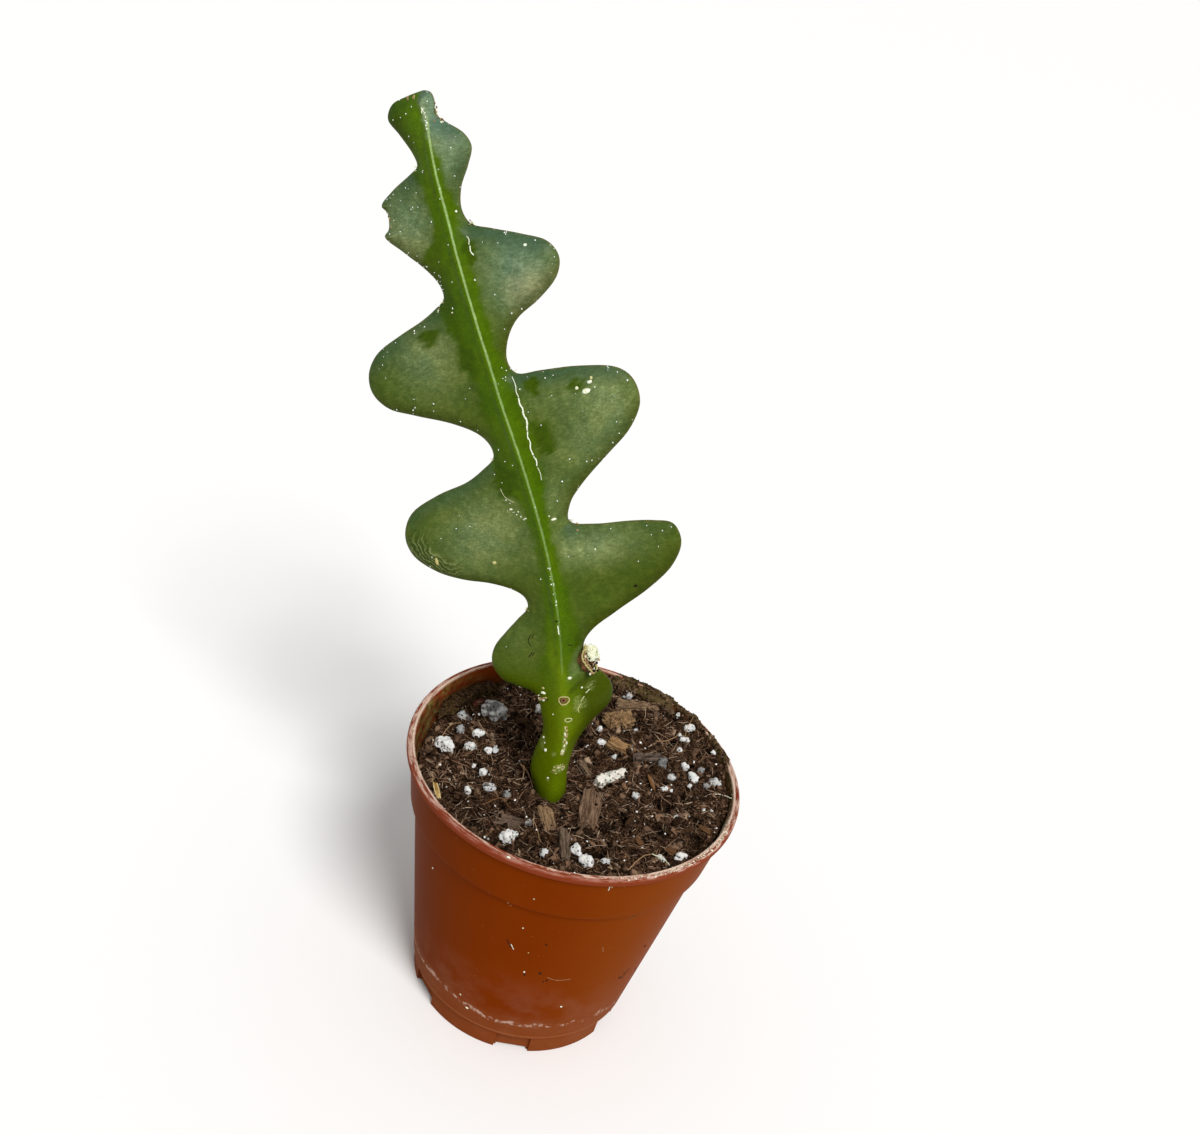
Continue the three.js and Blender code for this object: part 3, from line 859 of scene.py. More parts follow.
@dataclass(frozen=True)
class StemSizes:
    """Sizes of the stem in millimetres, those of the CAD stem where it has them."""

    spine: tuple = (
        (-2, -4.8, 52), (-3.3, -3.4, 67), (-6.8, -2, 78.5), (-10.4, -0.4, 90),
        (-15.5, 1.4, 101.8), (-22.4, 3.7, 114), (-30, 6, 125.8), (-37.2, 8.6, 137.5),
        (-43.8, 11.3, 148.5), (-49.7, 14.1, 159), (-54.4, 17, 169.3))
    left: tuple = (
        ((-19, 0), (-18.2, 1.9)),
        ((-15.5, 3.0),),
        ((0, 4.0), (5, 5.7), (9.5, 5.4)),
        ((14, 4.5), (18, 4.8)),
        ((22.5, 5.8), (24, 9.3), (25.2, 12), (28, 13.6), (31, 13), (34.5, 10.5), (37.5, 8)),
        ((40, 5.9), (42, 6.2), (43.5, 8), (45.1, 12.5), (46, 17.5), (48, 22.5), (52, 26.6),
         (57.5, 27.5), (62, 25), (64.8, 18.5), (66.2, 12), (68, 8.2)),
        ((69.8, 5.5), (72, 5.3), (74.5, 6.7), (77.5, 11), (80.3, 17.5), (82.5, 22.2),
         (85.7, 24.4), (89, 24), (92, 21.3), (94.2, 15.7), (95.8, 10.5), (97.2, 7.3)),
        ((98.5, 5.2), (100.8, 5.2), (103.7, 6.8), (107.5, 10.2), (110.9, 13.1), (111.9, 11.9),
         (114.5, 11.4), (115.7, 12.2), (117.5, 9.5), (119.4, 5.2)),
        ((120.4, 3.5), (122.4, 3.9), (125.7, 5.8), (128.4, 7.5), (130.6, 6.3), (131.5, 3.2),
         (132, 0)))
    right: tuple = (
        ((-19, 0), (-18.2, 0.9)),
        ((-15.5, 1.3),),
        ((0, 1.9), (7, 1.3), (13, 2.2)),
        ((17, 4.8), (20, 7.9), (23, 8.5), (26.3, 7.1), (29.3, 4.8)),
        ((32.7, 4.0), (35.7, 5.9), (38.7, 10.3), (42.6, 17), (46, 21.5), (49.5, 23.6),
         (52.4, 22.8), (53.4, 19.5), (54, 15), (54.5, 9)),
        ((55.7, 4.8), (58.8, 5.8), (61.6, 8.7), (65.7, 14.7), (69, 19.9), (72.5, 22.7),
         (76.6, 22.7), (79.5, 20.5), (81.6, 14.3), (82.6, 7.8)),
        ((83.2, 3.6), (85.5, 2.7), (89.1, 3.9), (92.1, 6.5), (94.4, 11.1), (97.3, 15),
         (100.3, 16.2), (103.3, 15), (105.7, 11), (107.9, 6.3)),
        ((109.4, 3.3), (111.9, 2.4), (115.4, 3.2), (118.8, 5.2), (121.9, 6.4), (124.3, 5.5),
         (126.6, 2.8)),
        ((127.9, 1.5), (130.3, 1.5), (131.5, 1.1), (132, 0)))
    left_fold: tuple = ((0, 4), (30, 5), (50, 8), (80, 8), (105, 12), (125, 18))
    right_fold: tuple = ((0, 20), (15, 28), (26, 20), (36, 5), (80, 5), (105, 8), (125, 10))
    half: tuple = ((-19, 2.4), (0, 3.2), (12, 3.1), (28, 1.75), (110, 1.6), (132, 1.5))
    edge_round: tuple = ((0, 3.4), (14, 3.4), (30, 6), (132, 5))
    rib: tuple = ((-2, 0), (8, 0.9), (30, 1), (100, 0.85), (132, 0.6))
    fold_radius: float = 3.0
    crest: float = 0.9
    crest_width: float = 0.75
    crest_growth: tuple = ((0, 0), (20, 0.1), (32, 0.6), (46, 1))
    swell: float = 0.85
    swell_width: float = 3.0
    back_swell: float = 1.2
    back_width: float = 3.4
    rib_fade: float = 1.5
    buried_end: float = 0.8
    row_step: float = 0.3
    columns: int = 21
    waviness: float = 0.16
    tip_end: float = 0.12
    crest_gap: float = 0.22
    crest_gap_growth: float = 0.16
    edge_gap: float = 0.05
    edge_gap_growth: float = 0.3
    dust_density: float = 130000.0
    bristles: int = 7
    bristle_length: float = 0.7
    bristle_foot: float = 0.07
    bristle_tip: float = 0.02


# Wax bloom with painted sheen on the lobes: along, out, radius along and out, and strength.
WAX_SHEEN = (
    (112, -8, 6, 6, 0.75), (104, -11, 5, 4, 0.4), (97, 10, 6, 6, 0.74), (104, 9, 4, 6, 0.22),
    (121, 4, 6, 4, 0.42), (130, 1.2, 6, 3, 1.0), (87, -11, 5.5, 6.5, 0.44), (92, -11, 4, 7, 0.25),
    (75, 18, 6, 5, 0.7), (68, 12, 6, 7, 0.45), (78, 9, 4, 6, 0.3),
    (60, 4, 5, 3, 0.35), (58, -10, 6, 8, 0.62), (52, -14, 6, 7, 0.35), (51, 9, 3, 9, 0.85),
    (34, -8, 4, 4, 0.16), (28, 2.5, 2.5, 2, 0.3),
    (33, 3, 4, 2, 0.2),
)

# Distance from the crest at which the wax bloom and its painted sheen begin, on the left and on the
# right.
WAX_SHEEN_LEFT = ((24, 5), (34, 2.5), (42, 2), (50, 1.5), (56, 1.7), (61, 2.4), (64, 5.2),
              (69, 6), (72, 4.4), (79, 3.8), (83, 3.4), (86, 3.8), (92, 5), (96, 6.5),
              (104, 8.5), (108, 3.5), (112, 2.3), (117, 3.0), (119.2, 4.6), (120.6, 9), (132, 9))
WAX_SHEEN_RIGHT = ((24, 1.2), (30, 1.4), (34, 4), (42, 2.6), (50, 1.8), (58, 1.6), (64, 2.9),
               (72, 3.4), (80, 3), (86, 2), (104, 2.1), (112, 1.8), (120, 1.2), (124, 0.3),
               (127, -0.6), (132, -0.6))

# Places without the wax bloom and its painted sheen, painted darker: along, out, radius along and
# out.
BARE = (
    (92.8, -9.4, 1.5, 2.0), (87, -3.6, 3.2, 1.6), (65.6, -3.8, 3.0, 2.5), (72.2, 5.0, 2.3, 1.5),
    (69.6, 5.6, 1.3, 1.3), (105, 2.4, 2.2, 1.0), (78.4, 13.4, 1.3, 1.3), (80.5, 6.0, 1.6, 1.4),
    (89.6, -4.6, 1.2, 0.9),
)

# Pale corky or scuffed skin: along, out, radius along and out.
SCUFFED = (
    (8.1, -0.2, 1.1, 1.25), (21.6, 3.0, 1.4, 1.2), (12.4, -4.2, 1.3, 0.6), (11.4, -1.6, 0.5, 0.5),
    (5.3, -1.7, 0.35, 0.4), (24.6, 5.2, 0.8, 0.8), (14.2, 0.3, 3.0, 0.45),
)

# Thin raised lines, such as torn wax: places along and out, width and tone.
LINES = (
    (((82.9, 3.0), (81.4, 3.3), (80.2, 3.15), (79.4, 3.3)), 0.09, 1.0),
    (((79.2, 3.25), (78.2, 3.15), (77.2, 3.35), (76.4, 3.2), (75.0, 3.35), (73.4, 2.9)),
     0.17, 1.05),
    (((73.2, 2.9), (72.2, 2.6), (71.4, 2.75), (70.2, 2.45), (69.0, 2.55)), 0.13, 1.02),
    (((68.8, 2.5), (67.9, 2.75), (67.0, 2.55)), 0.13, 1.02),
    (((66.7, 2.6), (65.6, 2.75), (64.4, 2.6)), 0.07, 0.94),
    (((107.6, 2.5), (107.0, 2.75), (106.2, 2.6)), 0.09, 0.95),
    (((105.9, 2.7), (105.0, 2.6), (104.3, 2.9)), 0.11, 0.98),
    (((64.3, -5.4), (62.6, -5.0), (61.4, -3.6)), 0.055, 0.9),
    (((37.7, 0.2), (36.0, 0.25)), 0.13, 0.98),
    (((24.0, 4.9), (23.4, 4.2)), 0.1, 0.9), (((22.8, 3.9), (22.1, 3.3)), 0.1, 0.9),
    (((21.6, 3.3), (20.6, 2.7), (19.8, 2.8)), 0.09, 0.85),
    (((34.9, -5.4), (33.6, -6.0), (32.5, -5.5)), 0.1, 0.05),
    (((35.2, -4.9), (34.2, -5.2)), 0.07, 0.05), (((31.4, -5.3), (30.5, -5.9)), 0.1, 0.05),
    (((31.5, -4.9), (30.7, -5.3)), 0.07, 0.1), (((33.5, 1.5), (33.2, 2.2)), 0.1, 0.05),
)

# Single beads: along, out, radius across and along, and tone.
BEADS = (
    (78.4, 15.8, 0.45, 0.3, 0.97), (77.0, 14.8, 0.75, 0.4, 0.96), (78.0, 13.4, 0.3, 0.3, 0.92),
    (79.0, 16.2, 0.25, 0.3, 0.85), (51.0, -21.8, 0.35, 0.8, 0.8), (57.0, 2.7, 0.5, 0.22, 0.95),
    (103.7, 11.5, 0.32, 0.28, 0.98), (111.9, 1.7, 0.24, 0.22, 0.96),
    (43.4, 14.6, 0.35, 0.25, 0.0), (38.6, 0.1, 0.25, 0.15, 0.03),
    (57.8, 2.1, 0.18, 0.14, 0.95), (50.6, 8.6, 0.17, 0.17, 0.97), (60.2, -4.6, 0.3, 0.2, 0.95),
    (58.2, -2.2, 0.3, 0.15, 0.95), (96.0, -3.8, 0.2, 0.15, 0.9), (50.0, -10.4, 0.4, 0.3, 0.85),
)

# Dried brown remains beside the tip and in the notches: along, out, spread, count and size.
REMAINS = (
    (128.3, 1.5, 1.2, 18, 0.17), (126.9, 2.3, 0.6, 8, 0.17), (131.2, -1.6, 0.5, 8, 0.15),
    (130.9, -2.9, 0.5, 6, 0.13), (113.4, -11.2, 1.0, 6, 0.14), (97.0, -6.6, 0.7, 4, 0.13),
    (54.9, 6.0, 0.8, 4, 0.16), (39.9, -6.3, 0.7, 4, 0.14), (109.6, 3.5, 0.7, 4, 0.14),
)

# Dried scales on the lower stem: along, out, radius across and along, height and tone.
SCALES = (
    (23.6, -3.7, 0.55, 0.3, 0.25, 0.97), (24.6, -3.6, 0.3, 0.25, 0.18, 0.8),
    (26.9, 1.6, 0.4, 0.3, 0.2, 0.95),
)

# Cream beads on the lower stem: along, out and size.
CREAM_BEADS = ((11.4, -3.2, 0.34), (13.4, -4.0, 0.24), (5.8, -1.8, 0.2), (12.6, -3.6, 0.16),
               (19.6, -2.0, 0.15), (24.6, 3.6, 0.2))

# Rows of cream beads: start and end by along and out, spread and count.
BEAD_ROWS = (((60.3, -5.2), (57.6, -1.7), 0.4, 10), ((49.5, 0.35), (40.0, 0.3), 0.12, 14))

# Lumps of the callus: place across, up and high, radii, roughness, detail and tone.
CALLUS = (
    ((-0.1, 0, -0.7), (1.6, 2.2, 1.0), 0.26, 3, 0.36),
    ((0.7, 1.2, 0.3), (1.2, 1.35, 0.9), 0.3, 3, 0.93),
    ((1.3, 0.4, 0.2), (0.8, 0.95, 0.75), 0.35, 3, 0.93),
    ((-0.2, 2.2, 0.0), (0.45, 0.75, 0.4), 0.3, 2, 0.8),
)

# Ridges of torn skin round the callus and in it: places, width and tone.
TORN = (
    (((-0.3, 2.6, 0.3), (-1.0, 2.2, 0.6), (-1.6, 1.3, 0.7), (-1.35, 0.1, 0.75),
      (-0.75, -0.9, 0.8), (-0.1, -1.8, 0.75), (0.5, -2.5, 0.5), (1.2, -2.0, 0.4),
      (1.3, -1.1, 0.5)), 0.17, 0.8),
    (((-0.7, 1.7, 0.35), (-0.95, 0.7, 0.4), (-0.5, -0.5, 0.5), (0.1, -1.4, 0.55)), 0.14, 0.7),
)

# Areoles with bristles: along and out.
AREOLES = ((39.4, -5.6), (69.2, -5.2), (97.8, -5.2), (119.8, -3.5), (55.4, 4.7), (83.0, 3.4),
           (109.0, 3.2))


@dataclass
class Stem:
    """The stem's skin, its scars and the dust on it."""

    sizes: StemSizes = StemSizes()

    def __post_init__(self) -> None:
        """Works out the line of the crest and both margins."""
        self.line = Curve(self.sizes.spine).path(60)
        self.lengths = np.r_[0, np.cumsum(np.linalg.norm(np.diff(self.line, axis=0), axis=1))]
        self.left = Margin(self.sizes.left, -1)
        self.right = Margin(self.sizes.right, 1)
        self.segments = np.concatenate([np.stack([margin.line[:-1], margin.line[1:]], 1)
                                        for margin in (self.left, self.right)])

    def spine(self, along: Array) -> Array:
        """Points on the line of the crest, which runs on straight past both ends.

        Args:
            along: Places along the crest.

        Returns:
            The points.
        """
        inside = np.clip(along, 0, self.lengths[-1])
        base = np.stack([np.interp(inside, self.lengths, self.line[:, i]) for i in range(3)], -1)
        first, last = unit(self.line[1] - self.line[0]), unit(self.line[-1] - self.line[-2])
        ahead = np.where((along < 0)[..., None], first, last)
        return base + (along - inside)[..., None] * ahead

    def axes(self, along: Array) -> tuple[Array, Array, Array]:
        """Directions up the stem, to its right and out of its back.

        Args:
            along: Places along the crest.

        Returns:
            The three directions at each place.
        """
        up = unit(self.spine(along + 1) - self.spine(along - 1))
        right = unit(np.stack([up[..., 2], 0 * up[..., 0], -up[..., 0]], -1))
        return up, right, np.cross(up, right)

    def sheet(self, along: Array, out: Array, lift: Array) -> Array:
        """Finds points near the middle surface of the stem, which is folded along the crest.

        Args:
            along: Places along the crest.
            out: Distances from the crest to the right.
            lift: Heights behind the middle surface.

        Returns:
            The points.
        """
        sizes = self.sizes
        fold = np.radians(np.where(out > 0, ramp(sizes.right_fold, along),
                                   ramp(sizes.left_fold, along)))
        bend = np.hypot(out, sizes.fold_radius) - sizes.fold_radius
        _, right, back = self.axes(along)
        return (self.spine(along) + right * out[..., None]
                + back * (np.tan(fold) * bend + lift)[..., None])

    def point(self, along: float, out: float, lift: float) -> Array:
        """One point near the middle surface."""
        return self.sheet(np.array([along]), np.array([out]), np.array([lift]))[0]

    def edge(self, along: Array, out: Array) -> tuple[Array, Array]:
        """Measures the way to the nearest margin, a part of the points at a time.

        Args:
            along: Places along the crest.
            out: Distances from the crest to the right.

        Returns:
            The distances, and 1 where the margin lies above and -1 where it lies below.
        """
        most = 3000
        start, ahead = self.segments[:, 0], self.segments[:, 1] - self.segments[:, 0]
        length = np.maximum((ahead ** 2).sum(-1), 1e-9)
        points = np.stack([along, out], -1).reshape(-1, 2)
        found, above = [], []
        for part in np.array_split(points, max(1, len(points) // most)):
            offset = part[:, None] - start
            share = np.clip((offset * ahead).sum(-1) / length, 0, 1)
            gap = offset - share[..., None] * ahead
            distance = np.hypot(gap[..., 0], gap[..., 1])
            best = distance.argmin(1)
            rows = np.arange(len(part))
            found.append(distance[rows, best])
            above.append(-gap[rows, best, 0] / np.maximum(distance[rows, best], 1e-6))
        return (np.concatenate(found).reshape(along.shape),
                np.concatenate(above).reshape(along.shape))

    def stand_out(self, along: Array, out: Array, edge: Array) -> tuple[Array, Array]:
        """Works out how far the skin stands out from the middle surface.

        Args:
            along: Places along the crest.
            out: Distances from the crest to the right.
            edge: Distances to the nearest margin.

        Returns:
            The distances of the front and of the back.
        """
        sizes = self.sizes
        reach = ramp(sizes.edge_round, along)
        share = np.minimum(edge, reach) / reach
        half = ramp(sizes.half, along) * np.sqrt(1 - (1 - share) ** 2)
        rib = ramp(sizes.rib, along) * np.minimum(1, edge / sizes.rib_fade)
        # Shallow waves that cross each other and fade out at the margin and the crest.
        waves = (np.sin(0.47 * along + 0.31 * out) * np.sin(0.33 * out - 0.21 * along + 1)
                 * sizes.waviness * smooth(edge, 0.3, 4) * smooth(np.abs(out), 2, 6))
        crest = ramp(sizes.crest_growth, along) * sizes.crest
        front = half + waves + rib * (crest * np.exp(-(out / sizes.crest_width) ** 2)
                                      + sizes.swell * np.exp(-(out / sizes.swell_width) ** 2))
        back = half - waves + rib * sizes.back_swell * np.exp(-(out / sizes.back_width) ** 2)
        return front, back

    def on_front(self, along: "float | Array", out: "float | Array",
                 height: float = 0.0) -> Array:
        """Finds points on the front of the stem, or at a height over it.

        Args:
            along: Places along the crest.
            out: Distances from the crest to the right.
            height: Height over the front.

        Returns:
            Rows of points, also for a single place.
        """
        along, out = np.broadcast_arrays(np.atleast_1d(along).astype(float), out)
        front, _ = self.stand_out(along, out, self.edge(along, out)[0])
        return self.sheet(along, out, -front - height)

    def local_axes(self, along: float, out: float) -> Array:
        """Rows that point right and up on the stem's front, and out of it.

        Args:
            along: Place along the crest.
            out: Distance from it to the right.

        Returns:
            The three rows.
        """
        step = 0.2
        here, up, right = (self.on_front(along + a, out + o)[0]
                           for a, o in ((0, 0), (step, 0), (0, step)))
        normal = unit(np.cross(right - here, up - here))
        across = unit(right - here)
        return np.stack([across, unit(np.cross(normal, across)), normal])

    def columns(self, reach: Array) -> Array:
        """Spreads the columns of the skin over each wing.

        Args:
            reach: Distance from the crest to the margin for each row of the skin.

        Returns:
            Shares from the crest to the margin, close together at both.
        """
        sizes = self.sizes
        share = np.linspace(0, 1, 200)
        inner = share * reach[:, None]
        outer = reach[:, None] - inner
        density = (1 / (sizes.crest_gap + sizes.crest_gap_growth * inner)
                   + 1 / (sizes.edge_gap + sizes.edge_gap_growth * outer))
        total = np.cumsum(density, axis=1)
        total = (total - total[:, :1]) / (total[:, -1:] - total[:, :1])
        wanted = np.linspace(0, 1, sizes.columns + 2)[1:-1]
        return np.stack([np.interp(wanted, row, share) for row in total])

    def skin(self) -> Shape:
        """The whole skin in rings from the buried end to the tip, with its painted values.

        Returns:
            The skin.
        """
        sizes = self.sizes
        first = sizes.left[0][0][0]
        along = spaced(first + sizes.buried_end, self.lengths[-1] - sizes.tip_end,
                       sizes.row_step)
        crest = np.stack([along, np.zeros_like(along)], -1)[:, None]
        wings = []
        for margin in (self.left, self.right):
            end = margin.at(along)[:, None]
            reach = np.maximum(0.3, np.linalg.norm(end - crest, axis=-1))[:, 0]
            wings.append((crest + self.columns(reach)[..., None] * (end - crest), end))
        (left, left_end), (right, right_end) = wings
        across = np.concatenate([left[:, ::-1], crest, right], axis=1)
        around = np.concatenate([left_end, across, right_end, across[:, ::-1]], axis=1)
        along, out = around[..., 0], around[..., 1]
        edge, above = self.edge(along, out)
        front, back = self.stand_out(along, out, edge)
        count = across.shape[1]
        face = np.zeros(around.shape[1])
        face[1:count + 1], face[count + 2:] = 1, -1
        lift = np.where(face == 1, -front, np.where(face == -1, back, 0))
        shape = ringed(self.sheet(along, out, lift),
                       *(self.point(place, 0.0, 0.0) for place in (first, self.lengths[-1])))
        wing = self.wing(along, out)
        bare = self.blots(BARE, along, out) * np.broadcast_to(face >= 0, along.shape)
        values = {"along": along, "out": out, "edge": edge, "above": above,
                  "face": np.broadcast_to(face, along.shape), "wing": wing, "bare": bare,
                  "bloom": self.bloom(along, out) * wing * (1 - bare),
                  "scuff": self.blots(SCUFFED, along, out)}
        return shape.painted(**{name: np.r_[value[0, 0], value.ravel(), value[-1, 0]]
                                for name, value in values.items()})

    @staticmethod
    def blots(places: tuple, along: Array, out: Array) -> Array:
        """Paints uneven blots.

        Args:
            places: Rows of along, out, and radius along and out.
            along: Places along the crest.
            out: Distances from the crest to the right.

        Returns:
            1 inside the blots and 0 outside.
        """
        found = np.zeros(along.shape)
        for place, across, long, wide in places:
            turn = np.arctan2((out - across) / wide, (along - place) / long)
            uneven = 1 + 0.16 * np.sin(3 * turn + place) + 0.1 * np.sin(5 * turn + across)
            gap = np.hypot((along - place) / long, (out - across) / wide)
            found = np.maximum(found, smooth(-gap, -1.1 * uneven, -0.8 * uneven))
        return found

    @staticmethod
    def wing(along: Array, out: Array) -> Array:
        """0 on the green band along the crest and 1 on the wings beside it.

        Args:
            along: Places along the crest.
            out: Distances from the crest to the right.

        Returns:
            The shares.
        """
        wobble = 0.22 * np.sin(0.9 * along) + 0.15 * np.sin(2.3 * along + 1)
        left, right = ramp(WAX_SHEEN_LEFT, along) + wobble, ramp(WAX_SHEEN_RIGHT, along) + wobble
        shown = np.maximum(smooth(-out, left - 0.35, left + 0.6),
                           smooth(out, right - 0.35, right + 0.6))
        return shown * smooth(along, 24, 30)

    @staticmethod
    def bloom(along: Array, out: Array) -> Array:
        """Thickness of the wax bloom and its painted sheen, 0 to 1.

        Args:
            along: Places along the crest.
            out: Distances from the crest to the right.

        Returns:
            The thicknesses.
        """
        amount = np.full(along.shape, 0.06)
        for place, across, long, wide, strength in WAX_SHEEN:
            gap = ((along - place) / long) ** 2 + ((out - across) / wide) ** 2
            amount = amount + strength * np.exp(-gap)
        return np.clip(1.1 * amount, 0, 1)

    # Relief: small closed shapes that lie half in the skin.

    def line_on(self, places: tuple, width: float, rng: Rng, tone: float) -> Shape:
        """Thin raised line on the front.

        Args:
            places: Places along and out that it runs through.
            width: Its largest radius.
            rng: Source of its unevenness.
            tone: Its tone.

        Returns:
            The line.
        """
        path = Curve(places).path(8)
        path = path + rng.normal(0, 0.15 * width, path.shape)
        points = self.on_front(path[:, 0], path[:, 1], 0.02)
        radii = width * rng.uniform(0.55, 1.1, len(points))
        normal = self.local_axes(*path[len(path) // 2])[2]
        return tube(points, radii, normal, flat=0.6).painted(tone=tone)

    def ring_on(self, along: float, out: float, wide: float, tall: float, width: float,
                rng: Rng, tone: float, floor: float) -> list[Shape]:
        """Round scar on the front.

        Args:
            along: Its place along the crest.
            out: Its distance from the crest to the right.
            wide: Its radius across the stem.
            tall: Its radius along the stem.
            width: Radius of its raised ring.
            rng: Source of its unevenness.
            tone: Tone of the ring.
            floor: Tone of the sunken floor.

        Returns:
            The ring and the floor.
        """
        angles = np.linspace(0, FULL_TURN, 25)
        wobble = 1 + 0.06 * np.sin(3 * angles + rng.uniform(0, 6))
        points = self.on_front(along + tall * wobble * np.sin(angles),
                               out + wide * wobble * np.cos(angles), 0.07)
        axes = self.local_axes(along, out)
        ring = tube(points, width, axes[2], flat=0.9).painted(tone=tone)
        middle = lump(self.on_front(along, out)[0], axes, (0.75 * wide, 0.7 * tall, 0.07), rng,
                      uneven=0.2)
        return [ring, middle.painted(tone=floor)]

    def bead_on(self, along: float, out: float, wide: float, tall: float, high: float,
                rng: Rng, tone: float) -> Shape:
        """Low bead on the front.

        Args:
            along: Its place along the crest.
            out: Its distance from the crest to the right.
            wide: Its radius across the stem.
            tall: Its radius along the stem.
            high: Its height.
            rng: Source of its unevenness.
            tone: Its tone.

        Returns:
            The bead.
        """
        axes = self.local_axes(along, out)
        centre = self.on_front(along, out)[0]
        return lump(centre, axes, (wide, tall, high), rng, uneven=0.2).painted(tone=tone)

    def scars(self) -> Shape:
        """All the relief on the stem.

        Returns:
            The relief as one shape.
        """
        rng = np.random.default_rng(11)
        parts = self.corky_scars(rng) + self.beads(rng)
        parts += [self.line_on(places, width, rng, tone) for places, width, tone in LINES]
        parts += [self.bead_on(along, out, wide, tall, 0.16, rng, tone)
                  for along, out, wide, tall, tone in BEADS]
        return Shape.joined(parts + self.remains(rng) + self.callus(rng))

    def corky_scars(self, rng: Rng) -> list[Shape]:
        """Corky scars and dried scales on the lower stem.

        Args:
            rng: Source of the random numbers.

        Returns:
            The scars.
        """
        parts = [
            *self.ring_on(22.7, 0.35, 0.95, 0.8, 0.12, rng, 0.8, 0.42),
            self.bead_on(22.75, 0.3, 0.3, 0.22, 0.12, rng, 0.12),
            self.ring_on(18.8, 0.9, 0.62, 0.36, 0.08, rng, 0.88, 0.6)[0],
            *(self.bead_on(*spot, rng, tone) for *spot, tone in SCALES),
        ]
        for _ in range(34):
            along = rng.uniform(11.4, 17.4)
            parts.append(self.bead_on(along, 0.15 + 0.1 * (along - 13) + rng.normal(0, 0.17),
                                      rng.uniform(0.1, 0.26), rng.uniform(0.15, 0.4), 0.12, rng,
                                      rng.uniform(0.74, 0.96)))
        for _ in range(26):
            turn, reach = rng.uniform(0, FULL_TURN), rng.uniform(0.3, 1.05)
            parts.append(self.bead_on(8.1 + 1.0 * reach * math.sin(turn),
                                      -0.2 + 1.15 * reach * math.cos(turn),
                                      rng.uniform(0.1, 0.24), rng.uniform(0.1, 0.22), 0.09, rng,
                                      rng.uniform(0.72, 0.92)))
        for _ in range(22):
            parts.append(self.bead_on(22.2 + rng.normal(0, 0.3), -4.1 + rng.normal(0, 0.65),
                                      rng.uniform(0.14, 0.42), rng.uniform(0.08, 0.2), 0.24, rng,
                                      rng.choice([0.2, 0.45, 0.7, 0.8, 0.95])))
        return parts

    def beads(self, rng: Rng) -> list[Shape]:
        """Cream beads on the lower stem, in two rows and up the rib near the tip.

        Args:
            rng: Source of the random numbers.

        Returns:
            The beads.
        """
        cream = 0.97
        parts = []
        for along, out, size in CREAM_BEADS:
            parts.append(self.bead_on(along, out, size, size, size * 0.7, rng, cream))
        for start, end, spread, count in BEAD_ROWS:
            for share in rng.random(count):
                along, out = (1 - share) * np.array(start) + share * np.array(end)
                size = rng.uniform(0.06, 0.16)
                parts.append(self.bead_on(along, out + rng.normal(0, spread), size, size, 0.1,
                                          rng, cream))
        for _ in range(26):
            along = rng.uniform(125.4, 129.2)
            parts.append(self.bead_on(along, 0.35 - 0.12 * (along - 125.4) + rng.normal(0, 0.1),
                                      rng.uniform(0.05, 0.14), rng.uniform(0.07, 0.2), 0.12, rng,
                                      cream))
        return parts

    def remains(self, rng: Rng) -> list[Shape]:
        """Dried brown remains on both sides of the tip, in the notches and the bitten lobe.

        Args:
            rng: Source of the random numbers.

        Returns:
            The remains.
        """
        parts = []
        for along, out, spread, count, size in REMAINS:
            for _ in range(count):
                place = along + rng.normal(0, 0.5 * spread)
                across = out + rng.normal(0, 0.18 * spread)
                tone = rng.choice([0.4, 0.62, 0.7, 0.8, 0.97])
                parts.append(self.bead_on(min(place, 131.5), across, size * rng.uniform(0.5, 1.3),
                                          size * rng.uniform(0.8, 1.4), size * 0.8, rng, tone))
        return parts

    def callus(self, rng: Rng) -> list[Shape]:
        """Dried, torn callus in the lowest notch on the right.

        Args:
            rng: Source of the random numbers.

        Returns:
            The parts of the callus.
        """
        axes = self.local_axes(29.8, 3.6)
        home = self.point(30.1, 4.95, -1.6)

        def at(across: float, up: float, high: float) -> Array:
            """Point in the callus."""
            return home + np.array([across, up, high]) @ axes

        parts = [lump(at(*place), axes, radii, rng, rough, detail).painted(tone=tone)
                 for place, radii, rough, detail, tone in CALLUS]
        for places, width, tone in TORN:
            path = Curve([at(*place) for place in places]).path(6)
            path = path + rng.normal(0, 0.06, path.shape)
            radii = width * rng.uniform(0.55, 1.25, len(path))
            parts.append(tube(path, radii, axes[2], flat=1.4, sides=7).painted(tone=tone))
        for _ in range(90):
            low = rng.random() < 0.6
            across, up = ((rng.uniform(-0.5, 1.5), rng.uniform(-2.6, -0.7)) if low
                          else (rng.uniform(-0.8, 1.9), rng.uniform(-0.7, 2.4)))
            dome = 1.2 * math.exp(-((across - 0.8) ** 2 + (up - 0.95) ** 2) / 2.2)
            size = rng.uniform(0.06, 0.2)
            tone = rng.choice([0.05, 0.3, 0.6, 0.68, 0.95] if low else [0.1, 0.76, 0.93, 0.97, 1])
            parts.append(lump(at(across, up, max(dome, rng.uniform(0.3, 0.8))), axes,
                              (size, size * 1.4, size), rng, 0.3).painted(tone=tone))
        return parts

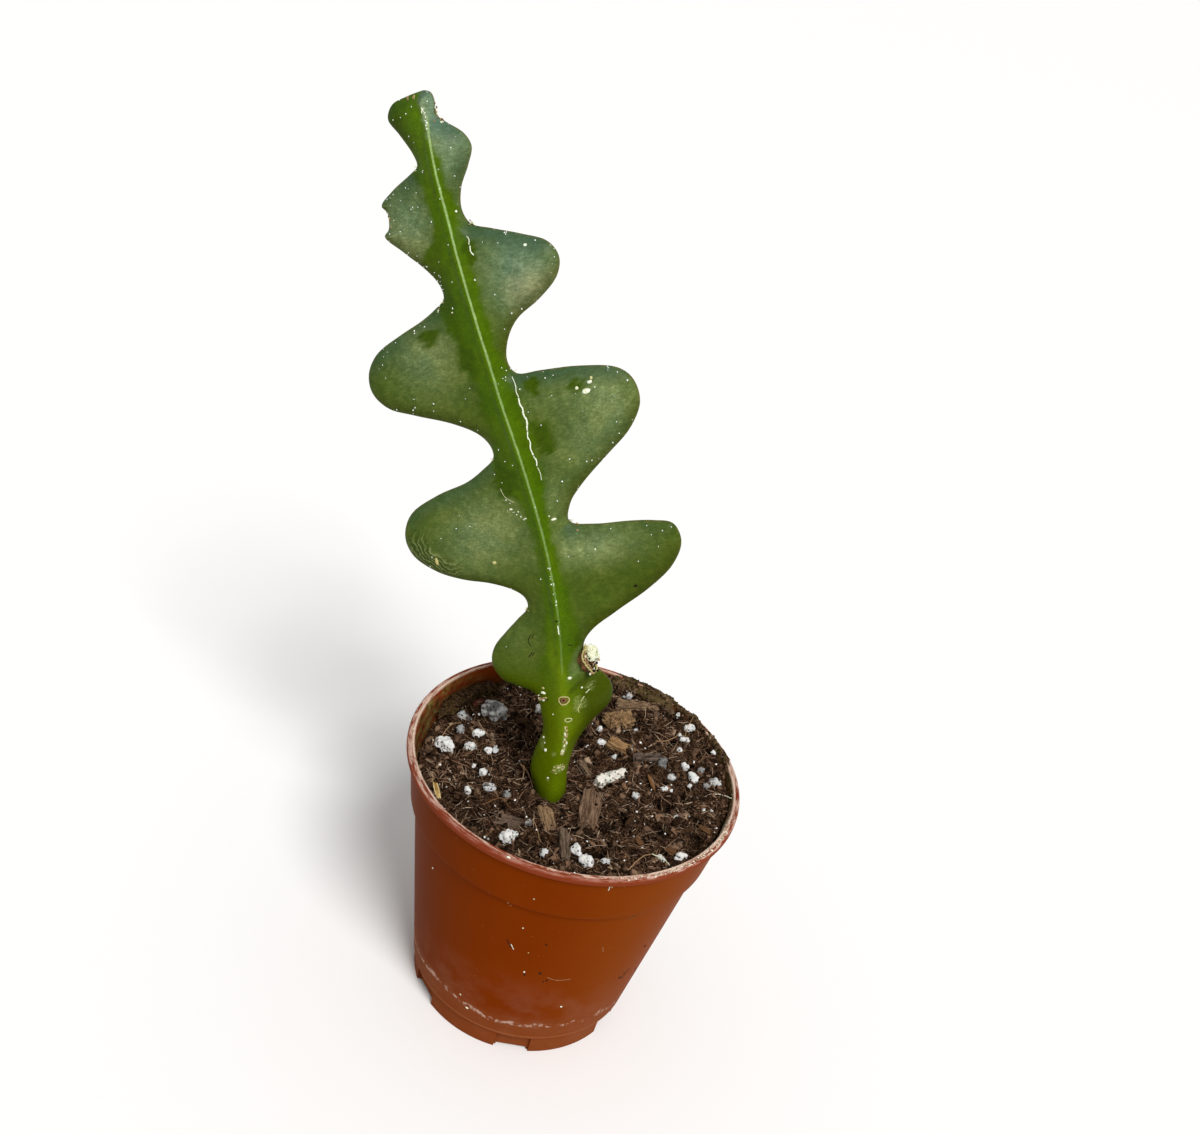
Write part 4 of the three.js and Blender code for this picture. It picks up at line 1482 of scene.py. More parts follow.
    def dust(self, skin: Mesh) -> Mesh:
        """Specks of perlite dust, more of them high up and near the margins.

        Args:
            skin: Mesh of the skin, with its values.

        Returns:
            The specks.
        """
        growth = Growth("stem_dust")
        step = growth.step
        density, seed = growth.size("Density", self.sizes.dust_density), growth.size("Seed", 5)
        along = growth.named("along")
        left = step(growth.named("out"), -1.0, -4.0)
        many = step(along, 35.0, 105.0) * 0.9 + 0.1
        many = many + left * step(along, 97.0, 103.0) * 1.2
        many = many * (1.0 - left * step(along, 117.0, 120.0) * 0.8)
        near = step(growth.named("edge"), 3.5, 0.5) * 1.2 + 0.35
        front = step(growth.named("face"), 0.2, 0.9)
        points = growth.strewn(density * many * near * front * step(along, 24.0, 27.0), seed)
        kinds = growth.crumbs(3, 1, 0.6)
        specks = growth.scattered(points, kinds, 3, (0.07, 0.06, 0.05), (0.22, 0.18, 0.12), 3)
        return growth.run(skin, specks, Dust().material())

    def tufts(self) -> Mesh:
        """Short bristles in the areoles at the bottom of the notches.

        Returns:
            The bristles.
        """
        sizes = self.sizes
        rng = np.random.default_rng(23)
        places, aims = [], []
        for along, out in AREOLES:
            side = math.copysign(1, out)
            for _ in range(sizes.bristles):
                places.append(self.point(along + rng.normal(0, 0.25), out, rng.normal(0, 0.35)))
                up, right, back = (axis[0] for axis in self.axes(np.array([along])))
                aims.append(unit(side * right + up * rng.normal(0.35, 0.3)
                                 + back * rng.normal(0, 0.45)))
        base = Shape(np.array(places), []).painted(aim=np.array(aims)).mesh("tuft_places")
        growth = Growth("stem_tufts")
        length = growth.size("Length", sizes.bristle_length * MM)
        cone = growth.node("GeometryNodeMeshCone", None, {
            "Vertices": 5, "Radius Top": sizes.bristle_tip * MM,
            "Radius Bottom": sizes.bristle_foot * MM, "Depth": length})
        aimed = growth.node("FunctionNodeAlignRotationToVector", {"axis": "Z"},
                            {"Vector": growth.named("aim", "FLOAT_VECTOR")})
        tufts = growth.instances(growth.points(), cone, Rotation=aimed, Scale=growth.random_vector(
            (0.8, 0.8, 0.5), (1.2, 1.2, 1.3), 2))
        toned = growth.stored(tufts, "tone", growth.random(0.75, 1.0, 4), "INSTANCE")
        return growth.run(base, toned, DryTissue("bristles").material())

    def build(self) -> None:
        """Adds the stem's pieces."""
        skin = self.skin().mesh("stem_surface")
        add_piece("stem_dust", self.dust(skin), Dust().material(), Slot.PERLITE)
        add_piece("stem_surface", skin, StemSkin().material(), Slot.STEM, ["stem"])
        add_piece("stem_scars", self.scars().mesh("scars"), DryTissue("scars").material(),
                  Slot.STEM)
        add_piece("stem_tufts", self.tufts(), DryTissue("bristles").material(), Slot.STEM)


@dataclass(frozen=True)
class StemSkin:
    """Fleshy green skin with a painted highlight on the rib, grey-green wax with painted sheen, and
    margins with painted reflection and shade.
    """

    band: Color = srgb(66, 95, 1)
    beside_band: Color = srgb(52, 75, 1)
    patches: Color = srgb(78, 100, 4)
    lower: Color = srgb(86, 102, 2)
    lower_shade: Color = srgb(50, 60, 2)
    ridge_highlight: Color = srgb(104, 126, 6)
    lit_fold: Color = srgb(112, 140, 66)
    crease_shade: Color = srgb(40, 54, 2)
    foot: Color = srgb(44, 54, 2)
    top: Color = srgb(78, 108, 12)
    wing: Color = srgb(70, 84, 14)
    wax_sheen_color: Color = srgb(104, 126, 92)
    wax_sheen_patches: Color = srgb(130, 142, 96)
    wax_sheen_fibres: Color = srgb(166, 168, 122)
    cool_wax_sheen: Color = srgb(112, 142, 134)
    low_wax_sheen: Color = srgb(108, 120, 54)
    tan_wax_sheen: Color = srgb(164, 154, 112)
    bare: Color = srgb(48, 70, 3)
    upper_margin_reflection: Color = srgb(46, 76, 62)
    olive: Color = srgb(60, 74, 6)
    lower_margin_shade: Color = srgb(54, 62, 3)
    rind: Color = srgb(104, 92, 44)
    crest: Color = srgb(158, 184, 118)
    scuffed: Color = srgb(162, 172, 104)
    wrinkle_shade: Color = srgb(44, 56, 16)
    wrinkle_highlight: Color = srgb(150, 158, 112)

    @cache
    def material(self) -> Material:
        """Makes the finish, with its coats from the lowest up.

        Returns:
            The material.
        """
        paint = Paint("stem_skin", Coat_Roughness=0.2, Subsurface_Weight=0.08,
                      Subsurface_Scale=0.001, Specular_IOR_Level=0.025)
        step, place = paint.step, paint.place()
        along, out, edge, above, wing, bloom, bare = (paint.value(name) for name in (
            "along", "out", "edge", "above", "wing", "bloom", "bare"))
        grain = paint.noise(place, 0.32, 4.0, 0.7)
        broad = paint.noise(place, 7.0, 3.0, 0.5)
        cloud = paint.noise(place, 1.5, 4.0, 0.65)
        fibre = paint.noise(paint.join(along * 2.2, out * 0.8, 0.0), 0.85, 4.0, 0.68)
        # Lower stem: a painted highlight on the ridge, and two folds that slant up to the right, one
        # painted lit and one with painted shade in its crease.
        middle = 0.2 - step(along, 26.0, 31.0) * 1.2
        slant = along - out * 0.67
        lit = step(abs(slant - 25.9), 0.8, 0.1) * step(out, 0.7, 1.8) * step(out, 5.4, 3.6)
        crease_shade = step(abs(slant - 23.2), 1.1, 0.1) * step(out, 0.8, 1.8) * step(out, 6.4, 4.6)
        flesh = paint.coats(
            self.band,
            (step(abs(out), 0.5, 4.5), self.beside_band),
            (step(broad, 0.3, 0.7) * 0.35, self.patches),
            (step(along, 34.0, 16.0), self.lower),
            (step(out, 2.0, 4.6) * step(along, 34.0, 26.0) * 0.7, self.lower_shade),
            (step(abs(out - middle), 1.9, 0.3) * step(along, 42.0, 28.0) * 0.5, self.ridge_highlight),
            (lit * 0.5, self.lit_fold),
            (crease_shade * 0.55, self.crease_shade),
            # Painted shade low on the stem, next to the soil.
            (step(along, 4.5, -1.0) * 0.7, self.foot),
            (step(along, 118.0, 128.0) * step(out, -6.0, -1.0) * 0.6, self.top),
            (wing * (step(cloud, 0.3, 0.75) * 0.7 + 0.3), self.wing))
        tan = step(out, 4.0, 9.0) * step(along, 101.0, 96.0) * step(along, 84.0, 90.0)
        # Grey-green wax bloom, which also carries the painted sheen of the lobes.
        wax_sheen_color = paint.coats(
            self.wax_sheen_color,
            (step(broad, 0.36, 0.64), self.wax_sheen_patches),
            (step(cloud * 0.4 + fibre * 0.6, 0.5, 0.7) * 0.5, self.wax_sheen_fibres),
            (step(along, 90.0, 104.0) * step(out, -3.0, 3.0) * 0.45, self.cool_wax_sheen),
            (step(along, 92.0, 84.0) * 0.3, self.low_wax_sheen),
            (tan * (cloud * 0.8 + 0.1), self.tan_wax_sheen))
        mottle = step(grain * 0.4 + fibre * 0.4 + cloud * 0.2, 0.32, 0.66) * 0.5 + 0.6
        # Margins: painted sky reflection above, olive and painted shade below, with a dry rind.
        pale = step(out, 4.0, 8.0) * step(along, 64.0, 58.0) * 0.8
        upper_reflection = step(edge, 4.0, 0.5) * step(above, 0.2, 0.9) * step(along, 34.0, 46.0)
        upper_reflection = upper_reflection * (1.0 - step(out, -2.0, -8.0) * 0.35) * (1.0 - bare) * (wing * 0.8 + 0.2)
        olive = step(out, 9.0, 15.0) * step(along, 55.0, 50.0) * step(cloud, 0.2, 0.6)
        rind = step(edge, 0.3, 0.06) * step(along, 22.0, 28.0) * step(fibre, 0.4, 0.6)
        # Thin pale line on the crest, a painted highlight, which fades out at the tip.
        grown = step(along, 30.0, 75.0) * 0.7 + step(along, 27.0, 29.0) * 0.3
        crest = (step(abs(out - 0.4 - (cloud - 0.5) * 0.2), 0.24, 0.06)
                 * step(paint.value("face"), 0.0, 0.6) * grown * step(along, 129.0, 125.0)
                 * (step(along, 84.0, 96.0) * 0.25 + 0.75))
        # Shrivelled end of the lowest lobe on the left, with painted shade in its wrinkles and
        # painted highlight on them.
        bend = paint.join(edge + (broad - 0.5) * 7.0 + (cloud - 0.5) * 2.5, along * 0.4, out * 0.4)
        wrinkle = paint.node("ShaderNodeTexWave", {"bands_direction": "X"}, {
            "Vector": bend, "Scale": 0.3, "Distortion": 6.0, "Detail": 3.0,
            "Detail Scale": 0.9}, "Fac")
        dry = (step(out, -16.0, -20.0) * step(along, 60.0, 55.0)
               * step(edge, 0.3, 1.2) * step(edge, 6.5, 3.5))
        skin = paint.coats(
            flesh,
            (bloom * mottle, wax_sheen_color),
            (bare * 0.7, self.bare),
            (upper_reflection * (cloud * 0.9 + 0.1) * (1.0 - pale), self.upper_margin_reflection),
            (olive * 0.4, self.olive),
            (step(edge, 3.0, 0.2) * step(above, 0.1, -0.8) * 0.62, self.lower_margin_shade),
            (rind * 0.55, self.rind),
            (crest * (grain * 0.5 + 0.45), self.crest),
            (paint.value("scuff") * step(grain * 0.5 + cloud * 0.5, 0.42, 0.56) * 0.4,
             self.scuffed),
            (dry * step(wrinkle, 0.5, 0.1) * (cloud * 0.9 + 0.15), self.wrinkle_shade),
            (dry * step(wrinkle, 0.7, 1.0) * cloud * 0.7, self.wrinkle_highlight))
        skin = paint.mix(0.65, skin, grain * 0.5 + fibre * 0.5, Blend.OVERLAY)
        skin = paint.mix(step(along, 20.0, 36.0) * 0.4, skin, cloud, Blend.OVERLAY)
        rough = 0.36 + bloom * 0.25 + grain * 0.1
        relief = grain * 0.5 + fibre * 0.5 + dry * wrinkle * 2.2 + cloud * 0.5
        return paint.finish(skin, rough, relief, depth=0.07, coat=(1.0 - bloom) * 0.05)


@dataclass(frozen=True)
class DryTissue:
    """Dry tissue from dark brown over tan to cream, by its tone."""

    name: str
    darkest: Color = srgb(30, 20, 10)
    brown: Color = srgb(126, 88, 56)
    tan: Color = srgb(170, 138, 104)
    straw: Color = srgb(192, 186, 118)
    cream: Color = srgb(233, 238, 216)

    @cache
    def material(self) -> Material:
        """Makes the finish.

        Returns:
            The material.
        """
        paint = Paint(f"dry_{self.name}", Specular_IOR_Level=0.08)
        grain = paint.noise(paint.place(), 0.35, 3.0, 0.7)
        tone = paint.value("tone") + (grain - 0.5) * 0.35
        color = paint.coats(
            self.darkest, (paint.step(tone, 0.1, 0.5), self.brown),
            (paint.step(tone, 0.5, 0.7), self.tan), (paint.step(tone, 0.7, 0.86), self.straw),
            (paint.step(tone, 0.84, 0.98), self.cream))
        return paint.finish(color, roughness=0.7, relief=grain, depth=0.08)


@dataclass(frozen=True)
class Dust:
    """White mineral dust."""

    grey: Color = srgb(158, 158, 150)
    white: Color = srgb(250, 250, 246)

    @cache
    def material(self) -> Material:
        """Makes the finish.

        Returns:
            The material.
        """
        paint = Paint("dust", Specular_IOR_Level=0.1)
        tone = paint.step(paint.value("tone"), 0.0, 0.4)
        return paint.finish(paint.mix(tone, self.grey, self.white), roughness=0.8)


# ----------------------------------------------------------------------------------- pot


@dataclass(frozen=True)
class PotSizes:
    """Sizes of the pot in millimetres, those of the CAD pot where it has them."""

    outer: tuple = (
        (0, 2), (20.5, 2), (20.6, 0), (21.9, 0), (22.1, 4.3), (22.7, 4.7), (22.8, 5.4),
        (28.9, 45.0), (29.9, 45.7), (31.6, 56.3), (32.3, 56.4), (32.5, 56.7), (32.5, 57.6),
        (32.1, 58), (31.95, 58.0), (31.85, 57.8), (31.65, 57.8), (31.55, 58.0), (31.25, 58.0))
    inner: tuple = (
        (31.0, 57.6), (30.7, 56.3), (29.0, 46.4), (28.0, 45.0), (21.9, 6.3), (20.4, 4.3),
        (20.2, 3.4), (19.8, 3.0), (0, 3))
    around: int = 240
    fillet: float = 0.22
    notches: int = 6
    notch_angle: float = -81.5
    notch_width: float = 7.0
    notch_depth: float = 0.9
    notch_height: float = 4.0
    drain_height: float = 0.6
    holes: int = 6
    hole_radius: float = 2.4
    hole_circle: float = 13.5
    centre_hole: float = 3.0
    wave: float = 0.12
    crust: tuple = ((333, 24, 0.88), (-27, 24, 0.88), (305, 16, 0.4), (262, 40, 0.1),
                    (185, 34, 0.34))
    foot: float = 21.9
    foot_ring: float = 2.8
    drill_depth: float = 6.0
    drill_height: float = 2.5
    crust_crumbs: int = 1100
    crust_least: float = 0.12
    crust_lowest: float = 55.6
    crust_largest: float = 0.26
    lip: tuple = (31.35, 57.9)
    lip_slope: float = 0.17
    lip_top: tuple = (31.4, 32.15)


# Specks on the wall: angle in degrees, height, radius across and up, and tone.
SPECKS = (
    (-81.4, 35.9, 0.2, 0.25, 0.1), (-87.1, 32.4, 0.12, 0.12, 0.85), (-86.4, 26.4, 0.2, 0.2, 0.95),
    (-86.0, 25.6, 0.2, 0.3, 0.05), (-79.9, 26.9, 0.32, 0.28, 0.05), (-76.1, 24.9, 0.22, 0.3, 0.05),
    (-77.4, 24.4, 0.15, 0.2, 0.1), (-37.7, 21.3, 0.4, 0.35, 0.1), (-36.2, 22.4, 0.25, 0.3, 0.25),
    (-34.8, 20.8, 0.2, 0.3, 0.3), (-23.4, 19.2, 0.3, 0.3, 0.1), (-30.8, 29.4, 0.28, 0.28, 0.1),
    (-64.8, 16.2, 0.22, 0.22, 1.0), (-136.1, 39.1, 0.2, 0.2, 0.98), (-90.7, 49.1, 0.12, 0.12, 0.9),
    (-91.8, 39.1, 0.14, 0.16, 0.95), (-60.6, 56.0, 0.22, 0.25, 0.98),
    (-101.9, 57.9, 0.36, 0.26, 1.0), (-99.4, 44.6, 0.2, 0.14, 0.7), (-98.2, 44.2, 0.16, 0.1, 0.65),
    (-108.0, 8.6, 0.35, 0.25, 0.93), (-112.6, 11.4, 0.22, 0.2, 0.9),
)

# Scratches and drips on the wall: places by angle and height, width and tone.
SCRATCHES = (
    (((-96.6, 34.3), (-95.4, 33.3), (-94.3, 32.4)), 0.11, 0.05),
    (((-94.6, 33.4), (-93.1, 32.2)), 0.09, 0.97),
    (((-76.4, 25.9), (-72.3, 25.2), (-66.1, 25.6)), 0.05, 0.68),
    (((-67.8, 56.4), (-67.6, 54.6)), 0.1, 0.97),
    (((-66.9, 56.2), (-66.8, 55.3)), 0.06, 0.9),
    (((-52.6, 43.4), (-49.6, 44.2)), 0.1, 0.35),
    (((-35.5, 20.2), (-33.5, 23.0)), 0.07, 0.15),
    (((-58.0, 35.4), (-57.0, 33.9)), 0.05, 0.7),
)


@dataclass
class Pot:
    """The nursery pot, the marks on its wall and the lime crust in its rim."""

    sizes: PotSizes = PotSizes()

    def rounded(self, profile: Array) -> Array:
        """Profile with its corners rounded.

        Args:
            profile: Rows of radius and height.

        Returns:
            The rounded rows.
        """
        points = [profile[0]]
        for before, corner, after in zip(profile, profile[1:], profile[2:]):
            ends = []
            for other in (before, after):
                gap = other - corner
                length = np.linalg.norm(gap)
                ends.append(corner + gap / length * min(self.sizes.fillet, 0.4 * length))
            for share in (0, 0.33, 0.67, 1):
                points.append((1 - share) ** 2 * ends[0] + 2 * share * (1 - share) * corner
                              + share ** 2 * ends[1])
        points.append(profile[-1])
        return np.array(points)

    def bulge(self, angles: Array, height: "float | Array") -> Array:
        """How far the thin wall is out of round, which it isn't at the foot."""
        return self.sizes.wave * smooth(np.asarray(height), 8, 40) * (
            np.sin(2 * angles + 0.7) + 0.5 * np.sin(3 * angles + 2))

    def shell(self) -> Shape:
        """The turned shell before the notches and holes are cut.

        Returns:
            The shell, with 1 painted on its inside.
        """
        sizes = self.sizes
        profile = self.rounded(np.array(sizes.outer + sizes.inner, float))
        lengths = np.r_[0, np.cumsum(np.linalg.norm(np.diff(profile, axis=0), axis=1))]
        extra = [np.arange(start, end, 2.0)[1:] for start, end in zip(lengths, lengths[1:])
                 if end - start > 3]
        places = np.unique(np.concatenate([lengths, *extra]))
        rows = np.stack([np.interp(places, lengths, profile[:, i]) for i in (0, 1)], -1)
        top = lengths[np.argmax(profile[:, 1] > 57.9)]
        angles = np.linspace(0, FULL_TURN, sizes.around, endpoint=False)
        radius, height = rows[1:-1, :1], rows[1:-1, 1:]
        radius = radius + self.bulge(angles, height) * (radius > 20)
        rings = np.stack([radius * np.cos(angles), radius * np.sin(angles),
                          np.broadcast_to(height, radius.shape)], -1)
        shape = ringed(rings, np.array([[0, 0, rows[0, 1]]]), np.array([[0, 0, rows[-1, 1]]]))
        inside = np.repeat(smooth(places[1:-1], top + 1.0, top + 1.6), sizes.around)
        return shape.painted(inside=np.r_[0, inside, 1])

    def mesh(self) -> Mesh:
        """The shell with its foot notches and drain holes.

        Returns:
            The finished pot.
        """
        sizes = self.sizes
        growth = Growth("pot_cuts")
        count = growth.size("Drain holes", sizes.holes)
        circle = growth.size("Hole circle", sizes.hole_circle * MM)
        radius = growth.size("Hole radius", sizes.hole_radius * MM)
        drill, middle = (growth.node("GeometryNodeMeshCylinder", None, {
            "Vertices": sides, "Radius": size, "Depth": sizes.drill_depth * MM})
            for sides, size in ((32, radius), (40, sizes.centre_hole * MM)))
        ring = growth.node("GeometryNodeMeshCircle", None, {"Vertices": count, "Radius": circle})
        holes = growth.node("GeometryNodeJoinGeometry", None,
                            {"Geometry": [growth.instances(ring, drill), middle]})
        cuts = [growth.node("GeometryNodeTransform", None, {
            "Geometry": holes, "Translation": tuple((AXIS + (0, 0, sizes.drill_height)) * MM)})]
        for depth, width, height in (
                (sizes.notch_depth, sizes.notch_width, sizes.notch_height),
                (sizes.foot_ring, sizes.notch_width - sizes.notch_depth, sizes.drain_height)):
            box = growth.node("GeometryNodeMeshCube", None, {
                "Size": (2 * depth * MM, width * MM, 2 * height * MM)})
            spots = growth.node("GeometryNodeMeshCircle", None,
                                {"Vertices": sizes.notches, "Radius": sizes.foot * MM})
            angle = growth.node("GeometryNodeInputIndex") * (FULL_TURN / sizes.notches)
            boxes = growth.instances(spots, box,
                                     Rotation=growth.turned(growth.join(0.0, 0.0, angle)))
            cuts.append(growth.node("GeometryNodeTransform", None, {
                "Geometry": boxes, "Translation": tuple(AXIS * MM),
                "Rotation": Euler((0, 0, math.radians(sizes.notch_angle)))}))
        shell = growth.start
        for cut in cuts:
            shell = growth.node("GeometryNodeMeshBoolean",
                                {"operation": "DIFFERENCE", "solver": "EXACT"},
                                {"Mesh 1": shell, "Mesh 2": [growth.real(cut)]})
        return growth.run(self.shell().mesh("pot_shell"), shell, PotPlastic().material())

    def on_wall(self, angle: float, height: float, lift: float = 0.0) -> Array:
        """Finds a point on the outside of the wall.

        Args:
            angle: Direction from the axis in degrees.
            height: Height over the foot.
            lift: Distance from the wall.

        Returns:
            The point.
        """
        wall = [(z, r) for r, z in self.sizes.outer[3:14]]
        turn = math.radians(angle)
        radius = ramp(wall, height) + lift + self.bulge(turn, height)
        return np.array([radius * math.cos(turn), radius * math.sin(turn), height])

    def marks(self) -> Shape:
        """Specks, scratches and drips on the wall.

        Returns:
            The marks as one shape.
        """
        rng = np.random.default_rng(31)
        parts = []
        for angle, height, wide, tall, tone in SPECKS:
            centre = self.on_wall(angle, height)
            out = unit(centre * (1, 1, 0))
            axes = np.stack([np.cross((0, 0, 1), out), (0, 0, 1), out])
            parts.append(lump(centre, axes, (wide, tall, 0.1), rng, uneven=0.25).painted(
                tone=tone))
        for places, width, tone in SCRATCHES:
            path = Curve(places).path(6)
            points = np.array([self.on_wall(angle, height, 0.02) for angle, height in path])
            radii = width * rng.uniform(0.6, 1.1, len(points))
            parts.append(tube(points, radii, points[0] * (1, 1, 0), flat=0.6).painted(
                tone=tone))
        return Shape.joined(parts)

    def crust(self) -> Mesh:
        """Crumbs of lime on the inner lip, thickest on the right.

        Returns:
            The crumbs.
        """
        sizes = self.sizes
        rng = np.random.default_rng(37)
        angles = []
        while len(angles) < sizes.crust_crumbs:
            angle = rng.uniform(0, 360)
            thick = sizes.crust_least + sum(share * math.exp(-((angle - middle) / spread) ** 2)
                                            for middle, spread, share in sizes.crust)
            if rng.random() < thick:
                angles.append((angle, thick))
        lip_radius, lip_height = sizes.lip
        places, scales = [], []
        for angle, thick in angles:
            turn = math.radians(angle)
            drop = rng.exponential(0.25 + 0.7 * max(0.0, thick - 0.4))
            height = max(lip_height - 0.05 - drop, sizes.crust_lowest)
            radius = (lip_radius - sizes.lip_slope * (lip_height - height) - rng.uniform(0, 0.12)
                      + 0.2 * (drop < 0.1))
            if rng.random() < 0.7 * (thick - 0.3):
                height, radius = lip_height + 0.02, rng.uniform(*sizes.lip_top)
            places.append((radius * math.cos(turn), radius * math.sin(turn), height))
            scales.append(min(1.0, 0.4 + thick))
        growth = Growth("lime_crust")
        largest = growth.size("Largest crumb", sizes.crust_largest)
        kinds = growth.crumbs(3, 1, 0.7)
        crumbs = growth.scattered(growth.points(), kinds, 3, (0.08,) * 3, (1.0,) * 3, 8)
        crumbs = growth.node("GeometryNodeScaleInstances", None, {
            "Instances": crumbs, "Scale": growth.even(largest * growth.named("size"))})
        base = Shape(np.array(places), []).painted(size=np.array(scales))
        return growth.run(base.mesh("crust_places"), crumbs, Lime().material())

    def build(self) -> None:
        """Adds the pot's pieces."""
        add_piece("pot_shell", self.mesh(), PotPlastic().material(), Slot.POT, ["pot"], sharp=38)
        add_piece("pot_marks", self.marks().mesh("marks"), DryTissue("marks").material(),
                  Slot.POT)
        add_piece("pot_crust", self.crust(), Lime().material(), Slot.POT)


@dataclass(frozen=True)
class PotPlastic:
    """Thin orange-brown plastic with lime, haze and soil stains."""

    plastic: Color = srgb(110, 40, 0)
    plastic_patches: Color = srgb(118, 47, 1)
    left: Color = srgb(90, 40, 8)
    right: Color = srgb(128, 60, 8)
    haze: Color = srgb(138, 92, 72)
    low: Color = srgb(128, 72, 40)
    lime_line: Color = srgb(198, 168, 150)
    ridge_highlight: Color = srgb(160, 100, 62)
    rim: Color = srgb(124, 56, 34)
    rim_streaks: Color = srgb(160, 98, 82)
    lip: Color = srgb(206, 176, 156)
    top: Color = srgb(214, 190, 172)
    stain_red: Color = srgb(128, 52, 26)
    stain_olive: Color = srgb(120, 104, 52)
    stain_pale: Color = srgb(206, 186, 132)
    stain_dark: Color = srgb(34, 26, 16)
    back: Color = srgb(120, 46, 6)
    grime: Color = srgb(40, 29, 16)
    inner_lime: Color = srgb(226, 216, 192)
    moss_dark: Color = srgb(48, 42, 22)
    moss_light: Color = srgb(112, 92, 58)
    specks: Color = srgb(206, 160, 124)
    shine: Color = srgb(255, 170, 90)

    @cache
    def material(self) -> Material:
        """Makes the finish.

        Returns:
            The material.
        """
        paint = Paint("pot_plastic", Subsurface_Weight=0.08, Subsurface_Scale=0.001,
                      Specular_IOR_Level=0.005, Specular_Tint=self.shine)
        step, place, inside = paint.step, paint.place(), paint.value("inside")
        x, y, z = (paint.axis(place, letter) for letter in "XYZ")
        angle = paint.math("ARCTAN2", y, x)
        radius = paint.math("SQRT", x * x + y * y)
        broad = paint.noise(place, 14.0, 3.0)
        cloud = paint.noise(place, 5.0, 4.0, 0.6)
        fine = paint.noise(place, 0.35, 3.0, 0.7)
        spots = paint.noise(place, 0.8, 2.0, 0.6)
        haze = (step(cloud * 0.55 + broad * 0.45, 0.42, 0.66) * step(z, 28.0, 11.0)
                * step(y, 4.0, -12.0))
        line_height = z - 9.2 - (cloud - 0.5) * 5.0 - paint.math("SINE", angle * 5.0) * 0.6
        lime = step(abs(line_height), 0.8, 0.1) * step(spots * 0.6 + cloud * 0.4, 0.48, 0.6)
        limed = step(x, 10.0, 24.0) * 0.75 + step(x, -16.0, -27.0) * 0.6 + 0.2
        streaks = paint.noise(paint.join(angle * 9.0, radius * 1.5, z * 1.5), 0.9, 4.0, 0.7)
        lip = step(z, 57.3, 57.75) * step(radius, 31.9, 31.5)
        outside = paint.coats(
            self.plastic,
            (broad, self.plastic_patches),
            # Painted shade on the left side and painted light on the right side.
            (step(x, -4.0, -27.0) * 0.6, self.left),
            (step(x, 0.0, 26.0) * 0.85, self.right),
            (haze * 0.32, self.haze),
            (step(z, 13.0, 8.0) * 0.5, self.low),
            (lime * 0.75, self.lime_line),
            # Painted highlight on the ridge above the foot.
            (step(abs(z - 5.2), 0.35, 0.1) * 0.35, self.ridge_highlight),
            (step(z, 56.2, 56.6) * 0.8, self.rim),
            (step(z, 57.2, 57.7) * step(streaks, 0.4, 0.62) * 0.6, self.rim_streaks),
            (lip * step(streaks + limed * 0.2, 0.46, 0.66), self.lip),
            (step(z, 57.5, 57.85) * limed * step(streaks, 0.42, 0.6) * 0.85, self.top))
        # Inside wall: stains by direction, from olive on the left to red at the back.
        stain = paint.noise(paint.join(angle * 9.0, z * 0.9, 0.0), 1.2, 4.0, 0.65)
        grime = step(z + (spots - 0.5) * 3.0 + (cloud - 0.5) * 3.0, 57.2, 54.6)
        right = step(x, 10.0, 26.0)
        stained = paint.coats(
            self.stain_red,
            (step(stain, 0.4, 0.62), self.stain_olive),
            (step(stain, 0.58, 0.75), self.stain_pale),
            (step(paint.noise(place, 1.6, 3.0), 0.52, 0.68) * 0.8, self.stain_dark),
            (step(y, 4.0, 24.0) * (step(cloud, 0.3, 0.5) * 0.3 + 0.62), self.back),
            (grime * step(x, 6.0, -4.0) * 0.5, self.grime),
            (right * step(y, 2.0, -8.0) * step(spots, 0.4, 0.6), self.inner_lime),
            (right * step(y, -6.0, 4.0) * 0.9,
             paint.mix(step(spots, 0.35, 0.65), self.moss_dark, self.moss_light)))
        specks = step(paint.cells(place, 1.8), 0.06, 0.02) * step(fine, 0.45, 0.6)
        color = paint.coats(outside, (inside, stained), (specks * 0.6, self.specks))
        rough = 0.36 + haze * 0.15 + inside * 0.3 + lime * 0.3 + lip * 0.3 + fine * 0.06
        relief = cloud * 0.5 + fine * 0.12 + lime * 0.6
        return paint.finish(color, rough, relief, depth=0.08)


@dataclass(frozen=True)
class Lime:
    """Crumbly cream-white lime."""

    dirty: Color = srgb(150, 120, 92)
    white: Color = srgb(238, 228, 206)

    @cache
    def material(self) -> Material:
        """Makes the finish.

        Returns:
            The material.
        """
        paint = Paint("lime", Specular_IOR_Level=0.05)
        tone = paint.step(paint.value("tone"), 0.1, 0.8)
        return paint.finish(paint.mix(tone, self.dirty, self.white), roughness=0.85)


# ---------------------------------------------------------------------------------- soil


@dataclass(frozen=True)
class SoilSizes:
    """Sizes of the soil in millimetres, those of the CAD soil where it has them."""

    level: float = 53.7
    slope: float = 0.096
    heap: float = 0.001
    heap_angle: float = 39.0
    highest: float = 57.6
    clod: float = 0.45
    clod_length: float = 9.5
    waves: tuple = ((0.5, 1, 0.83, 0.3), (0.5, 1, -0.83, 1.1), (0.6, 1.02, 1.7, 2.1))
    gap: float = 0.35
    bottom: float = 3.35
    rings: int = 86
    around: int = 440
    grain: tuple = ((0.55, 3.4, (0, 0, 0)), (0.48, 1.3, (9, 2, 5)), (0.3, 0.5, (3, 7, 1)))
    hole: float = 2.7
    hole_size: float = 2.1
    hole_start: float = 0.22
    sunk: float = 0.12
    side_top: float = 50.0
    flake: tuple = (2.0, 0.7, 0.45)
    flake_widening: float = 0.12
    flake_density: float = 1.4e5


